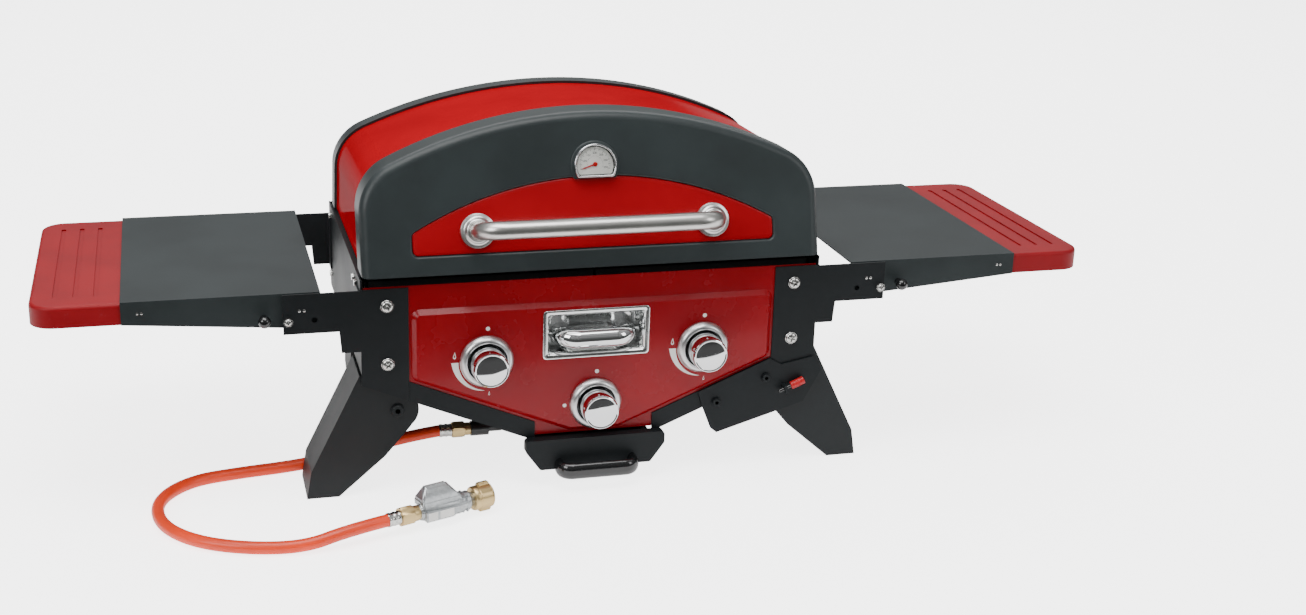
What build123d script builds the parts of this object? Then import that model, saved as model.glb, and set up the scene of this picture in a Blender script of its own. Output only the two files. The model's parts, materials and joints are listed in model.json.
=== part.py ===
from build123d import *
import math
import os

# Table-top gas barbecue: three burners, hinged lid, folding side shelves and folding legs.
# Millimetres. +X to the cook's right, +Y away from the cook, +Z up.
# The origin is on the ground under the middle of the grill, its hose left out.

# ---- driving dimensions ----
FRONT = -141.0            # front face of the two posts
BACK = 174.5              # rear face of the body
REACH = 180.3             # furthest point forward (lid handle) and back (shelves)
HALF_BODY = 252.0         # outside of the side panels
SHEET = 1.5               # thickness of the folded sheet parts
TILT = 15.0               # lean of the lid's front and rear faces, degrees

POST_INNER = 202.0
POST_TOP = 232.4
PANEL_TOP = 234.0
SIDE_TOP = 243.0
SIDE_BOTTOM = 139.0

V_SLOPE = math.tan(math.radians(22.5))
V_START = 71.0            # half width of the flat middle of the V-shaped underside
V_LOW = 51.8              # height of the V's lower edge at that half width
RAIL_HEIGHT = 21.6
RAIL_INNER = 66.0

FIELD_PROUD = 3.5         # the pressed field of the front panel stands out of the posts' plane
FIELD_HALF = 199.5
FIELD_TOP = 207.3
FIELD_LOW = 58.5
FACE = FRONT - FIELD_PROUD
KNOBS = {"left": (-120.0, 147.0), "centre": (0.0, 90.5), "right": (120.0, 147.0)}

HEARTH_HALF = 246.0
HEARTH_FRONT = -133.0
HEARTH_STEP = -89.0       # front wall of the deep part of the firebox
HEARTH_BACK = 166.5
HEARTH_SHELF = 210.0
HEARTH_TOP = 238.0
HEARTH_FLOOR = 76.0
HEARTH_FLAT = 70.0

LID_HALF = 250.0
LID_BOTTOM = 246.0
LID_FRONT = FRONT - 7.0   # lid face at its bottom edge
LID_BACK = 156.0
LID_APEX_FRONT = 404.5
LID_APEX_BACK = 398.0
LID_CROWN_RADIUS = 520.0
LID_CORNER_RADIUS = 55.0
LEAN = math.tan(math.radians(TILT))

SHELF_TOP = 231.5
SHELF_INNER = 292.0
SHELF_OUTER = 491.0
SHELF_END = 580.0
SHELF_FRONT = FRONT + 5.8
SHELF_PIVOT = (326.0, 203.0)
SHELF_EDGE = 207.5        # lower edge of a shelf at its outer end

LEG_DEPTH = 65.0
LEG_SHEET = 2.0
FRONT_LEG_PIVOT = (214.4, 94.7)
REAR_LEG_PIVOT = (200.0, 95.0)
BOLT_RADIUS = 4.0
RUNNING = 0.05            # radial clearance of a shaft that turns

HOSE_RADIUS = 6.65
HOSE_START = (-158.0, -60.0, 35.0)
REGULATOR_START = (-240.0, -238.0, 16.5)
REGULATOR_HEADING = 20.0  # degrees from +X, along the ground

HINGE_AXIS = (BACK + SHEET, 246.0)

os.makedirs("parts", exist_ok=True)


# ---- helpers ----
def block(x, y, z):
    """A box from three (low, high) pairs."""
    size = [high - low for low, high in (x, y, z)]
    middle = [(high + low) / 2 for low, high in (x, y, z)]
    return Pos(*middle) * Box(*size)


def polygon(*points):
    return make_face(Polyline(*points, close=True))


def plate_y(outline, y_low, y_high):
    """An outline drawn in X and Z, made solid between two Y planes."""
    return extrude(Plane.XZ.offset(-y_high) * outline, y_high - y_low)


def plate_x(outline, x_low, x_high):
    """An outline drawn in Y and Z, made solid between two X planes."""
    return extrude(Plane.YZ.offset(x_low) * outline, x_high - x_low)


def rod_y(x, z, radius, y_low, y_high):
    return plate_y(Pos(x, z) * Circle(radius), y_low, y_high)


def rod_x(y, z, radius, x_low, x_high):
    return plate_x(Pos(y, z) * Circle(radius), x_low, x_high)


def disc(x, radius):
    """A circle square to +X, at this place along it."""
    return Plane.YZ.offset(x) * Circle(radius)


def both_sides(shape):
    """The shape and its mirror image across the middle of the grill."""
    return [shape, mirror(shape, about=Plane.YZ)]


def on_left(shape):
    return mirror(shape, about=Plane.YZ)


def rail_low(x):
    """Height of the V-shaped underside's lower edge."""
    return V_LOW + (abs(x) - V_START) * V_SLOPE


def rail_at(height):
    """Half width at which the V's lower edge is at this height."""
    return V_START + (height - V_LOW) / V_SLOPE


def tube_along(path, radius, wall=None):
    """A round bar, or a pipe where a wall is given, swept along a path."""
    section = Circle(radius) if wall is None else Circle(radius) - Circle(radius - wall)
    return sweep(Plane(path @ 0, z_dir=path % 0) * section, path=path)


def save(name, *solids):
    shape = solids[0] if len(solids) == 1 else Compound(children=list(solids))
    export_step(shape, f"parts/{name}.step")


# ---- body sheet metal ----
def side_panel():
    """Right side: wall, front post, rear flange and top lip, folded from one sheet."""
    inside = HALF_BODY - SHEET
    wall = block((inside, HALF_BODY), (FRONT, BACK), (SIDE_BOTTOM, SIDE_TOP))
    post = polygon(
        (POST_INNER, POST_TOP),
        (HALF_BODY, POST_TOP),
        (HALF_BODY, rail_low(HALF_BODY)),
        (POST_INNER, rail_low(POST_INNER)),
    )
    panel = wall + plate_y(post, FRONT, FRONT + SHEET)
    panel += block((226, HALF_BODY), (BACK - 2 * SHEET, BACK - SHEET), (SIDE_BOTTOM + 12, SIDE_TOP))
    panel += block((240, HALF_BODY), (FRONT + 14, BACK - 14), (SIDE_TOP - SHEET, SIDE_TOP))
    for x, z in POST_SCREWS:
        panel -= rod_y(x, z, SCREW_RADIUS + RUNNING, FRONT - 1, FRONT + 2)
    return panel


def field_outline(grow):
    """The pressed field of the front panel: a shallow pentagon that follows the V."""
    half = FIELD_HALF + grow
    low = FIELD_LOW - grow
    above_rail = RAIL_HEIGHT + 3 - grow / math.cos(math.radians(22.5))
    side = rail_low(half) + above_rail
    tip = rail_at(low - above_rail)
    top = FIELD_TOP + grow
    outline = polygon((-half, top), (half, top), (half, side), (tip, low), (-tip, low), (-half, side))
    return fillet(outline.vertices(), 10 + grow)


def front_panel():
    """The red panel, with its pressed field, knob holes and the opening for the recess."""
    back = FRONT + 2 * SHEET
    tab = 56.0
    edge = 249.0
    corner = rail_at(tab - 4)
    base = polygon(
        (-edge, PANEL_TOP),
        (edge, PANEL_TOP),
        (edge, rail_low(edge) + 4),
        (corner, tab),
        (-corner, tab),
        (-edge, rail_low(edge) + 4),
    )
    height = FIELD_PROUD + SHEET
    face_of_base = Plane.XZ.offset(-(FRONT + SHEET))
    outer = extrude(face_of_base * field_outline(0), height, taper=45)
    inner = extrude(Plane.XZ.offset(-back - 0.1) * field_outline(-0.4), height + 0.1, taper=45)
    panel = plate_y(base, FRONT + SHEET, back) + outer - inner
    for x, z in KNOBS.values():
        panel -= rod_y(x, z, STEM_HOLE, FACE - 1, back + 1)
    half, low, high = RECESS
    panel -= block((-half - 0.5, half + 0.5), (FACE - 1, back + 1), (low - 0.5, high + 0.5))
    for x, z in POST_SCREWS:
        for across in (-x, x):
            panel -= rod_y(across, z, SCREW_RADIUS + RUNNING, FRONT, back + 1)
    return panel


def rear_panel():
    """The back sheet, with a row of air slots under the firebox rim."""
    edge = HALF_BODY - SHEET
    tab = 56.0
    corner = rail_at(tab - 4)
    outline = polygon(
        (-edge, SIDE_TOP - 2),
        (edge, SIDE_TOP - 2),
        (edge, rail_low(edge) + 14),
        (corner, tab),
        (-corner, tab),
        (-edge, rail_low(edge) + 14),
    )
    panel = plate_y(outline, BACK - SHEET, BACK)
    for i in range(5):
        slot = Pos(-140 + 70 * i, 190) * SlotOverall(50, 6)
        panel -= plate_y(slot, BACK - 2 * SHEET, BACK + 1)
    return panel


def lower_rail():
    """Right half of the black strip that edges the front panel's V."""
    outline = polygon(
        (RAIL_INNER, rail_low(RAIL_INNER)),
        (POST_INNER - 0.2, rail_low(POST_INNER)),
        (POST_INNER - 0.2, rail_low(POST_INNER) + RAIL_HEIGHT),
        (RAIL_INNER, rail_low(RAIL_INNER) + RAIL_HEIGHT),
    )
    return plate_y(outline, FRONT, FRONT + SHEET)


def post_screw(x, z):
    head = rod_y(x, z, 7, FRONT - 4, FRONT)
    head = fillet(head.edges().filter_by(GeomType.CIRCLE).group_by(Axis.Y)[0], 2)
    return head + rod_y(x, z, SCREW_RADIUS, FRONT, FRONT + 7)


POST_SCREWS = [(224.3, 213.3), (224.3, 149.0)]
SCREW_RADIUS = 3.0
STEM_HOLE = 6.0
RECESS = (55.0, 147.6, 195.1)          # half width, lower and upper edge of the handle recess

side = side_panel()
save("right_side_panel", side)
save("left_side_panel", on_left(side))
save("front_panel", front_panel())
save("rear_panel", rear_panel())
save("lower_rails", *both_sides(lower_rail()))
save("post_screws", *[s for x, z in POST_SCREWS for s in both_sides(post_screw(x, z))])


# ---- firebox and what lies in it ----
def hearth_low(x):
    """Height of the firebox's sloping underside."""
    return HEARTH_FLOOR + (abs(x) - HEARTH_FLAT) * V_SLOPE


def hearth_section(inset, top):
    half = HEARTH_HALF - inset
    lift = inset / math.cos(math.radians(22.5))
    flat = HEARTH_FLAT + (inset - lift) / V_SLOPE
    slope_top = hearth_low(half) + lift
    floor = HEARTH_FLOOR + inset
    right = [(half, top), (half, slope_top), (flat, floor)]
    return polygon(*right, *[(-x, z) for x, z in reversed(right)])


def firebox():
    """A stepped sheet box: a wide rim that carries the grates over a deep V-shaped hearth."""
    wall = 2.0
    half = HEARTH_HALF
    inside = half - wall
    box = plate_y(hearth_section(0, HEARTH_SHELF), HEARTH_STEP, HEARTH_BACK)
    box += block((-half, half), (HEARTH_FRONT, HEARTH_BACK), (HEARTH_SHELF, HEARTH_TOP))
    box -= plate_y(hearth_section(wall, HEARTH_SHELF + 3), HEARTH_STEP + wall, HEARTH_BACK - wall)
    box -= block(
        (-inside, inside),
        (HEARTH_FRONT + wall, HEARTH_BACK - wall),
        (HEARTH_SHELF + wall, HEARTH_TOP + 1),
    )
    front_edge = (HEARTH_FRONT - 1, HEARTH_FRONT + wall)
    box -= block((-half - 1, half + 1), front_edge, (POST_TOP - 2, HEARTH_TOP + 1))
    box -= block((-50, 50), (-40, 120), (HEARTH_FLOOR - 1, HEARTH_FLOOR + wall + 1))
    for x, z in KNOBS.values():
        box -= rod_y(x, z, BURNER_RADIUS + 0.5, HEARTH_STEP - 1, HEARTH_STEP + wall + 1)
    for y in (HEARTH_FRONT + wall, HEARTH_BACK - wall - 8):
        box += block((-inside, inside), (y, y + 8), (GRATE_LOW - 2.2, GRATE_LOW - 0.2))
    for y in (HEARTH_STEP + wall, HEARTH_BACK - wall - 8):
        box += block((-inside, inside), (y, y + 8), (TAMER_LOW - 2.2, TAMER_LOW - 0.2))
    return box


def flame_tamer(x):
    """An inverted V of sheet over each burner."""
    half = 35.0
    rise = 25.0
    outline = polygon(
        (x - half, TAMER_LOW),
        (x, TAMER_LOW + rise),
        (x + half, TAMER_LOW),
        (x + half - 2.4, TAMER_LOW),
        (x, TAMER_LOW + rise - 1.8),
        (x - half + 2.4, TAMER_LOW),
    )
    return plate_y(outline, HEARTH_STEP + 2.5, HEARTH_BACK - 2.5)


def grate(x_low, x_high):
    """A cast grate: a frame, bars that run front to back, and two cross bars."""
    y_low, y_high = HEARTH_FRONT + 4, HEARTH_BACK - 4
    rim = 8.0
    top = GRATE_LOW + 9
    shape = block((x_low, x_high), (y_low, y_high), (GRATE_LOW, top))
    shape -= block((x_low + rim, x_high - rim), (y_low + rim, y_high - rim), (GRATE_LOW - 1, top + 1))
    pitch = (x_high - x_low - rim) / (GRATE_BARS + 1)
    for i in range(GRATE_BARS):
        x = x_low + rim / 2 + pitch * (i + 1)
        shape += block((x - 2.2, x + 2.2), (y_low + rim / 2, y_high - rim / 2), (GRATE_LOW + 2, top))
    for y in (y_low + (y_high - y_low) / 3, y_low + 2 * (y_high - y_low) / 3):
        shape += block((x_low + rim / 2, x_high - rim / 2), (y - 2.5, y + 2.5), (GRATE_LOW, GRATE_LOW + 5))
    return shape


def burner_pipe(path):
    pipe = tube_along(path, BURNER_RADIUS) - tube_along(path, BURNER_RADIUS - 1)
    x, z = (path @ 1).X, (path @ 1).Z
    pipe += rod_y(x, z, BURNER_RADIUS, BURNER_END - 1, BURNER_END)
    return pipe + rod_y(x, z, 4, BURNER_END, HEARTH_BACK - 2)


def side_burner(x, z):
    return burner_pipe(Line((x, BURNER_START, z), (x, BURNER_END, z)))


def centre_burner():
    low = KNOBS["centre"][1]
    high = KNOBS["left"][1]
    points = [(0, BURNER_START, low), (0, -64, low), (0, -22, high), (0, BURNER_END, high)]
    return burner_pipe(FilletPolyline(*points, radius=22))


GRATE_LOW = 228.3
GRATE_BARS = 16
TAMER_LOW = 178.2
BURNER_RADIUS = 9.0
BURNER_START = -97.0
BURNER_END = 152.0

save("firebox", firebox())
save("flame_tamers", *[flame_tamer(x) for x, z in KNOBS.values()])
right_grate = grate(1.5, HEARTH_HALF - 4)
save("right_grate", right_grate)
save("left_grate", on_left(right_grate))
save("side_burners", *both_sides(side_burner(*KNOBS["right"])))
save("centre_burner", centre_burner())


# ---- gas supply behind the front panel ----
def manifold_path():
    side = KNOBS["right"][1] - MANIFOLD_DROP
    low = KNOBS["centre"][1] - MANIFOLD_DROP
    rise = [(135, side), (105, side), (15, low)]
    points = [(x, MANIFOLD_Y, z) for x, z in rise + [(-x, z) for x, z in reversed(rise)]]
    return FilletPolyline(*points, radius=18)


def manifold():
    """The pipe that feeds the three valves, bent to reach the lower middle one."""
    path = manifold_path()
    pipe = tube_along(path, MANIFOLD_RADIUS) - tube_along(path, MANIFOLD_RADIUS - 1.5)
    for x in (-135, 133):
        pipe += rod_x(MANIFOLD_Y, (path @ 0).Z, MANIFOLD_RADIUS, x, x + 2)
    return pipe


def valve(x, z):
    """Tap body: stem bore, cavity for the turning plug, gas jet and saddle on the manifold."""
    body = rod_y(x, z, 11, VALVE_FRONT, VALVE_BACK) + rod_y(x, z, 4, VALVE_BACK, VALVE_BACK + 13)
    body += block((x - 8, x + 8), (MANIFOLD_Y - 8, MANIFOLD_Y + 8), (z - MANIFOLD_DROP - 7, z))
    body -= rod_x(MANIFOLD_Y, z - MANIFOLD_DROP, MANIFOLD_RADIUS + 0.02, x - 9, x + 9)
    body -= rod_y(x, z, STEM_RADIUS + RUNNING, VALVE_FRONT - 1, PLUG_FRONT)
    return body - rod_y(x, z, PLUG_RADIUS + RUNNING, PLUG_FRONT, PLUG_BACK + 0.2)


def valve_plug(x, z):
    """The plug that the stem turns: the stem slides in its bore."""
    plug = rod_y(x, z, PLUG_RADIUS, PLUG_FRONT + 0.2, PLUG_BACK)
    return plug - rod_y(x, z, STEM_RADIUS + RUNNING, PLUG_FRONT - 1, PLUG_FRONT + 9)


def knob(x, z):
    """A cup-shaped knob with its hub and stem."""
    front, rear = FACE - 32, FACE - 6.5
    cup = rod_y(x, z, KNOB_RADIUS, front, rear)
    cup = fillet(cup.edges().filter_by(GeomType.CIRCLE).group_by(Axis.Y)[0], 1.5)
    cup -= rod_y(x, z, KNOB_RADIUS - 2, front + 3, rear + 1)
    return cup + rod_y(x, z, 6, front + 2, rear) + rod_y(x, z, STEM_RADIUS, rear - 1, PLUG_FRONT + 4)


def knob_bezel(x, z):
    """The ring around a knob: a bright sloping rim and a flat bottom."""
    rings = [(12, 0.1), (29, 0.1), (29, 3), (26.5, 6.5), (22.5, 8), (21, 6), (21, 2.5), (12, 2.5)]
    profile = make_face(Polyline(*[(r, FACE - out, 0) for r, out in rings], close=True))
    return Pos(x, 0, z) * revolve(profile, Axis.Y)


MANIFOLD_Y = FRONT + 30
MANIFOLD_RADIUS = 6.0
MANIFOLD_DROP = 17.0
VALVE_FRONT = FRONT + 5
VALVE_BACK = FRONT + 40
STEM_RADIUS = 3.0
PLUG_RADIUS = 5.0
PLUG_FRONT = FRONT + 17
PLUG_BACK = FRONT + 31
KNOB_RADIUS = 19.5

save("gas_manifold", manifold())
save("gas_valves", *[valve(x, z) for x, z in KNOBS.values()])
save("knob_bezels", *[knob_bezel(x, z) for x, z in KNOBS.values()])
for where, (x, z) in KNOBS.items():
    save(f"{where}_valve_plug", valve_plug(x, z))
    save(f"{where}_knob", knob(x, z))


# ---- recessed carrying handle ----
def handle_recess():
    half, low, high = RECESS
    middle = (low + high) / 2
    flange = Pos(0, middle) * RectangleRounded(117.6, 55.1, 4)
    pan = plate_y(flange, FACE - 1.2, FACE - 0.1)
    pan += block((-half, half), (FACE - 0.2, RECESS_BOTTOM + SHEET), (low, high))
    inside = half - SHEET
    return pan - block((-inside, inside), (FACE - 2, RECESS_BOTTOM), (low + SHEET, high - SHEET))


def carry_bar():
    reach = 35.0
    out = RECESS_BOTTOM - 26.5
    z = 167.0
    corners = [(-reach, RECESS_BOTTOM, z), (-reach, out, z), (reach, out, z), (reach, RECESS_BOTTOM, z)]
    return tube_along(FilletPolyline(*corners, radius=15), 11)


RECESS_BOTTOM = -121.5

save("handle_recess", handle_recess())
save("carry_bar", carry_bar())


# ---- grease tray ----
def tray_front_outline(inset):
    return polygon(
        (-78 + inset, 54 - inset),
        (78 - inset, 54 - inset),
        (78 - inset, 41 + inset * 0.5),
        (62 - inset * 0.5, 19 + inset),
        (-62 + inset * 0.5, 19 + inset),
        (-78 + inset, 41 + inset * 0.5),
    )


def grease_tray():
    """A drawer: a boxed front, a pan behind it and two flanges that ride on the rails."""
    front, rear = TRAY_FRONT, FRONT - 1
    box = plate_y(tray_front_outline(0), front, rear)
    box = fillet(box.edges().filter_by(Axis.Y), 4)
    box -= plate_y(tray_front_outline(SHEET), front + SHEET, rear + 1)
    pan = block((-58, 58), (rear - 11, TRAY_BACK), (26, 50))
    pan += block((-64, 64), (FRONT + 8, TRAY_BACK), (50 - 1.2, 50))
    pan -= block((-56.8, 56.8), (rear - 9, TRAY_BACK - 1.2), (27.2, 51))
    return box + pan


def tray_rail():
    top = block((56, 67.5), (-85, TRAY_BACK + 4), (HEARTH_FLOOR - SHEET, HEARTH_FLOOR))
    web = block((66, 67.5), (-85, TRAY_BACK + 4), (46, HEARTH_FLOOR))
    return top + web + block((60, 67.5), (-85, TRAY_BACK + 4), (46.9, 48.4))


def tray_handle():
    reach = 41.0
    z = 23.0
    out = TRAY_FRONT - 18
    corners = [(-reach, TRAY_FRONT, z), (-reach, out, z), (reach, out, z), (reach, TRAY_FRONT, z)]
    path = FilletPolyline(*corners, radius=12)
    return sweep(Plane(path @ 0, x_dir=(1, 0, 0), z_dir=path % 0) * Ellipse(5.5, 9), path=path)


TRAY_FRONT = FRONT - 12.5
TRAY_BACK = 140.0

save("grease_tray", grease_tray())
save("tray_rails", *both_sides(tray_rail()))
save("tray_handle", tray_handle())


# ---- lid ----
def lid_arch(inset, y):
    """The lid's section at one depth: straight sides, tight corners and a flat crown."""
    half = LID_HALF - inset
    fall = (LID_APEX_FRONT - LID_APEX_BACK) / (LID_REAR_APEX_Y - LID_FRONT_APEX_Y)
    apex = LID_APEX_FRONT - fall * (y - LID_FRONT_APEX_Y) - inset
    crown = LID_CROWN_RADIUS - inset
    shoulder = apex - crown + math.sqrt(crown**2 - half**2)
    bottom = LID_BOTTOM
    sides = Polyline((half, shoulder), (half, bottom), (-half, bottom), (-half, shoulder))
    top = ThreePointArc((-half, shoulder), (0, apex), (half, shoulder))
    outline = make_face(sides + top)
    corners = [v for v in outline.vertices() if v.Y > bottom + 1]
    return Plane.XZ.offset(-y) * fillet(corners, LID_CORNER_RADIUS - inset)


def lid_slab(front_inset, back_inset, low=LID_BOTTOM - 2):
    """The space between the lid's two leaning faces, moved inwards by the insets."""
    high = 460.0
    front = LID_FRONT + front_inset
    back = LID_BACK - back_inset
    outline = polygon(
        (front + (low - LID_BOTTOM) * LEAN, low),
        (front + (high - LID_BOTTOM) * LEAN, high),
        (back - (high - LID_BOTTOM) * LEAN, high),
        (back - (low - LID_BOTTOM) * LEAN, low),
    )
    return plate_x(outline, -300, 300)


def lid_form(inset):
    return loft([lid_arch(inset, -165), lid_arch(inset, 175)], ruled=True)


def insert_outline(grow):
    """The crescent on the lid's face: flat bottom, short sides, arched top."""
    half = 197.0 + grow
    low, shoulder, top = 265.0 - grow, 288.0, 339.0 + grow
    outline = make_face(
        Polyline((-half, shoulder), (-half, low), (half, low), (half, shoulder))
        + ThreePointArc((half, shoulder), (0, top), (-half, shoulder))
    )
    return fillet(outline.vertices(), 6 + grow)


def front_bezel():
    """The cast front of the lid: a thick leaning face with the crescent cut out, and a band."""
    outer = lid_form(0) & lid_slab(0, 0)
    edges = [e for e in outer.edges() if on_lid_face(e)]
    outer = fillet(edges, 10)
    band = outer & (lid_slab(0, 0) - lid_slab(BAND_FRONT, 0))
    band -= lid_form(5) & lid_slab(4, 0)
    band -= lid_form(SKIN_INSET - 0.1) & lid_slab(BAND_FRONT - 12, 0)
    band -= plate_y(insert_outline(0), -160, -90)
    rim = [e for e in band.edges() if on_lid_face(e) and in_insert(e @ 0.5)]
    band = fillet(rim, 2.5)
    return band - face_rod(GAUGE_HEIGHT, 0, 4, -20, 5)


def in_insert(point):
    return abs(point.X) < 197.5 and 264 < point.Z < 340


def on_lid_face(edge):
    """True for the curved edge where the lid's leaning front face meets its side."""
    middle = edge @ 0.5
    ends = [edge @ 0, edge @ 1]
    in_face = all(abs(p.Y - (LID_FRONT + (p.Z - LID_BOTTOM) * LEAN)) < 0.01 for p in ends + [middle])
    return in_face and middle.Z > LID_BOTTOM + 1


def face_plane(height, out=0.0, x=0.0):
    """A plane on the lid's leaning front face, its normal pointing out of the face."""
    lean = math.radians(TILT)
    y = LID_FRONT + (height - LID_BOTTOM) * LEAN
    normal = (0, -math.cos(lean), math.sin(lean))
    origin = (x, y + normal[1] * out, height + normal[2] * out)
    return Plane(origin, x_dir=(1, 0, 0), z_dir=normal)


def face_rod(height, x, radius, low, high):
    return extrude(face_plane(height, low, x) * Circle(radius), high - low)


def lid_insert():
    """The red crescent: a sheet behind the bezel's opening."""
    sheet = lid_slab(4.2, 0) - lid_slab(4.2 + SHEET, 0)
    return sheet & plate_y(insert_outline(8), -160, -80)


def rear_bezel():
    outer = lid_form(0) & lid_slab(0, 0)
    band = outer & (lid_slab(0, 0) - lid_slab(0, BAND_BACK))
    band -= lid_form(4) & lid_slab(0, 3)
    return band - (lid_form(SKIN_INSET - 0.1) & lid_slab(0, BAND_BACK - 12))


def lid_skin():
    """The red enamelled sheet between the two castings, let in under their edges."""
    length = lid_slab(BAND_FRONT - 11, BAND_BACK - 11)
    return (lid_form(SKIN_INSET) - lid_form(SKIN_INSET + SHEET)) & length


LID_FRONT_APEX_Y = LID_FRONT + (LID_APEX_FRONT - LID_BOTTOM) * LEAN
LID_REAR_APEX_Y = LID_BACK - (LID_APEX_BACK - LID_BOTTOM) * LEAN
BAND_FRONT = 42.0
BAND_BACK = 26.0
SKIN_INSET = 3.0
GAUGE_HEIGHT = 355.0

save("lid_front_bezel", front_bezel())
save("lid_insert", lid_insert())
save("lid_rear_bezel", rear_bezel())
save("lid_skin", lid_skin())


# ---- lid handle ----
def lid_handle():
    """A bent tube that leaves the face square at both ends."""
    plane = face_plane(HANDLE_HEIGHT)
    across = Plane(plane.origin, x_dir=(1, 0, 0), z_dir=-plane.y_dir)
    half, out, seat = HANDLE_HALF, HANDLE_OUT, -4.0
    corners = [(-half, seat), (-half, out), (half, out), (half, seat)]
    path = FilletPolyline(*[across.from_local_coords(Vector(x, d, 0)) for x, d in corners], radius=24)
    return tube_along(path, HANDLE_RADIUS, 2)


def rosette(x):
    ring = face_rod(HANDLE_HEIGHT, x, 18.5, -4.0, 4)
    ring = chamfer(ring.faces().sort_by(Axis.Y)[0].edges(), 2.5)
    return ring - face_rod(HANDLE_HEIGHT, x, HANDLE_RADIUS + 0.1, -5, 5)


HANDLE_HEIGHT = 289.0
HANDLE_HALF = 128.0
HANDLE_RADIUS = 9.5
HANDLE_OUT = (REACH - HANDLE_RADIUS + face_plane(HANDLE_HEIGHT).origin.Y) / math.cos(math.radians(TILT))

save("lid_handle", lid_handle())
save("handle_rosettes", rosette(-HANDLE_HALF), rosette(HANDLE_HALF))


# ---- thermometer ----
def gauge_outline(inset):
    """A circle with its foot cut flat."""
    radius = 23.25 - inset
    foot = 12.75 - inset
    disc = Pos(0, -5.25) * Circle(radius)
    return disc - Pos(0, -5.25 - foot - 20) * Rectangle(80, 40)


def gauge_layer(inset, low, high):
    return extrude(face_plane(GAUGE_HEIGHT, low) * gauge_outline(inset), high - low)


def gauge_case():
    case = gauge_layer(0, 0.1, 6) - gauge_layer(2.2, 1.5, 7)
    return case + face_rod(GAUGE_HEIGHT, 0, 3, -45, 1)


def gauge_needle():
    """The pointer, lying at the cold end of the scale."""
    outline = polygon((-3, 0), (-1.2, 1.1), (16, 0.3), (16, -0.3), (-1.2, -1.1))
    turned = Pos(*GAUGE_PIVOT) * Rot(0, 0, NEEDLE_REST) * outline
    needle = extrude(face_plane(GAUGE_HEIGHT, 2.8) * turned, 0.5)
    return needle + extrude(face_plane(GAUGE_HEIGHT, 2.7) * (Pos(*GAUGE_PIVOT) * Circle(1.8)), 1.0)


GAUGE_PIVOT = (0.0, -4.0)
NEEDLE_REST = 198.0

save("thermometer_case", gauge_case())
save("thermometer_dial", gauge_layer(2.4, 1.6, 2.2))
save("thermometer_needle", gauge_needle())
save("thermometer_lens", gauge_layer(2.4, 4.4, 5.6))


# ---- lid hinges ----
def body_leaf():
    """The leaf on the back of the body, with its two outer knuckles and the pin."""
    y, z = HINGE_AXIS
    leaf = block((HINGE_X - 24, HINGE_X + 24), (BACK, BACK + SHEET), (212, SIDE_TOP - 2))
    for x_low in (HINGE_X - 24, HINGE_X + 12):
        leaf += rod_x(y, z, 4, x_low, x_low + 12)
        leaf += block((x_low, x_low + 12), (BACK, BACK + SHEET), (SIDE_TOP - 3, z - 2))
    leaf -= rod_x(y, z, 2, HINGE_X - 30, HINGE_X + 30)
    return leaf + rod_x(y, z, 2, HINGE_X - 25, HINGE_X + 25)


def lid_leaf():
    """The leaf on the lid: middle knuckle, a step forward and a plate up the rear face."""
    y, z = HINGE_AXIS
    half = 11.8
    leaf = rod_x(y, z, 4, HINGE_X - half, HINGE_X + half)
    foot = z + 4 - SHEET
    face = LID_BACK - (foot - LID_BOTTOM) * LEAN + RUNNING
    leaf += block((HINGE_X - half, HINGE_X + half), (face, y), (foot, foot + SHEET))
    plate = block((HINGE_X - 24, HINGE_X + 24), (0, SHEET), (0, 42))
    seated = Pos(0, face, foot) * Rot(TILT, 0, 0) * plate
    return leaf + seated - rod_x(y, z, 2 + RUNNING, HINGE_X - 30, HINGE_X + 30)


HINGE_X = 150.0

save("body_hinge_leaves", *both_sides(body_leaf()))
save("lid_hinge_leaves", *both_sides(lid_leaf()))


# ---- side shelves ----
def shelf_bracket(y_low, top):
    """The L-shaped bracket that carries one corner of a shelf."""
    outline = polygon(
        (HALF_BODY, top),
        (331, top),
        (331, 188.8),
        (274, 188.8),
        (272, 165),
        (HALF_BODY, 165),
    )
    outline -= Pos(299, 203) * Circle(3)
    plate = plate_y(outline, y_low, y_low + BRACKET)
    return plate - rod_y(*SHELF_PIVOT, PIVOT_RADIUS + 0.02, y_low - 1, y_low + BRACKET + 1)


def bracket_pair():
    """Front and rear brackets, each with a flange bolted to the side panel."""
    front = shelf_bracket(FRONT, SHELF_TOP)
    front += block((HALF_BODY, HALF_BODY + BRACKET), (FRONT, FRONT + 24), (165, SHELF_TOP))
    rear = shelf_bracket(BACK - BRACKET, SHELF_TOP - 3)
    rear += block((HALF_BODY, HALF_BODY + BRACKET), (BACK - 24, BACK), (165, SHELF_TOP - 3))
    return [front, rear]


def shelf_flange_outline():
    return polygon(
        (SHELF_INNER, SHELF_TOP),
        (SHELF_OUTER, SHELF_TOP),
        (SHELF_OUTER, SHELF_EDGE),
        (SHELF_INNER, 191.5),
    )


def shelf_top():
    """The folded sheet shelf: a flat top and two tapering flanges."""
    top = block((SHELF_INNER, SHELF_OUTER), (SHELF_FRONT, REACH), (SHELF_TOP - SHEET, SHELF_TOP))
    for y in (SHELF_FRONT, REACH - SHEET):
        top += plate_y(shelf_flange_outline(), y, y + SHEET)
        top -= rod_y(*SHELF_PIVOT, PIVOT_RADIUS + RUNNING, y - 1, y + SHEET + 1)
    return top - rod_y(*SHELF_LOCK, LOCK_RADIUS + RUNNING, SHELF_FRONT - 1, SHELF_FRONT + SHEET + 1)


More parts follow.
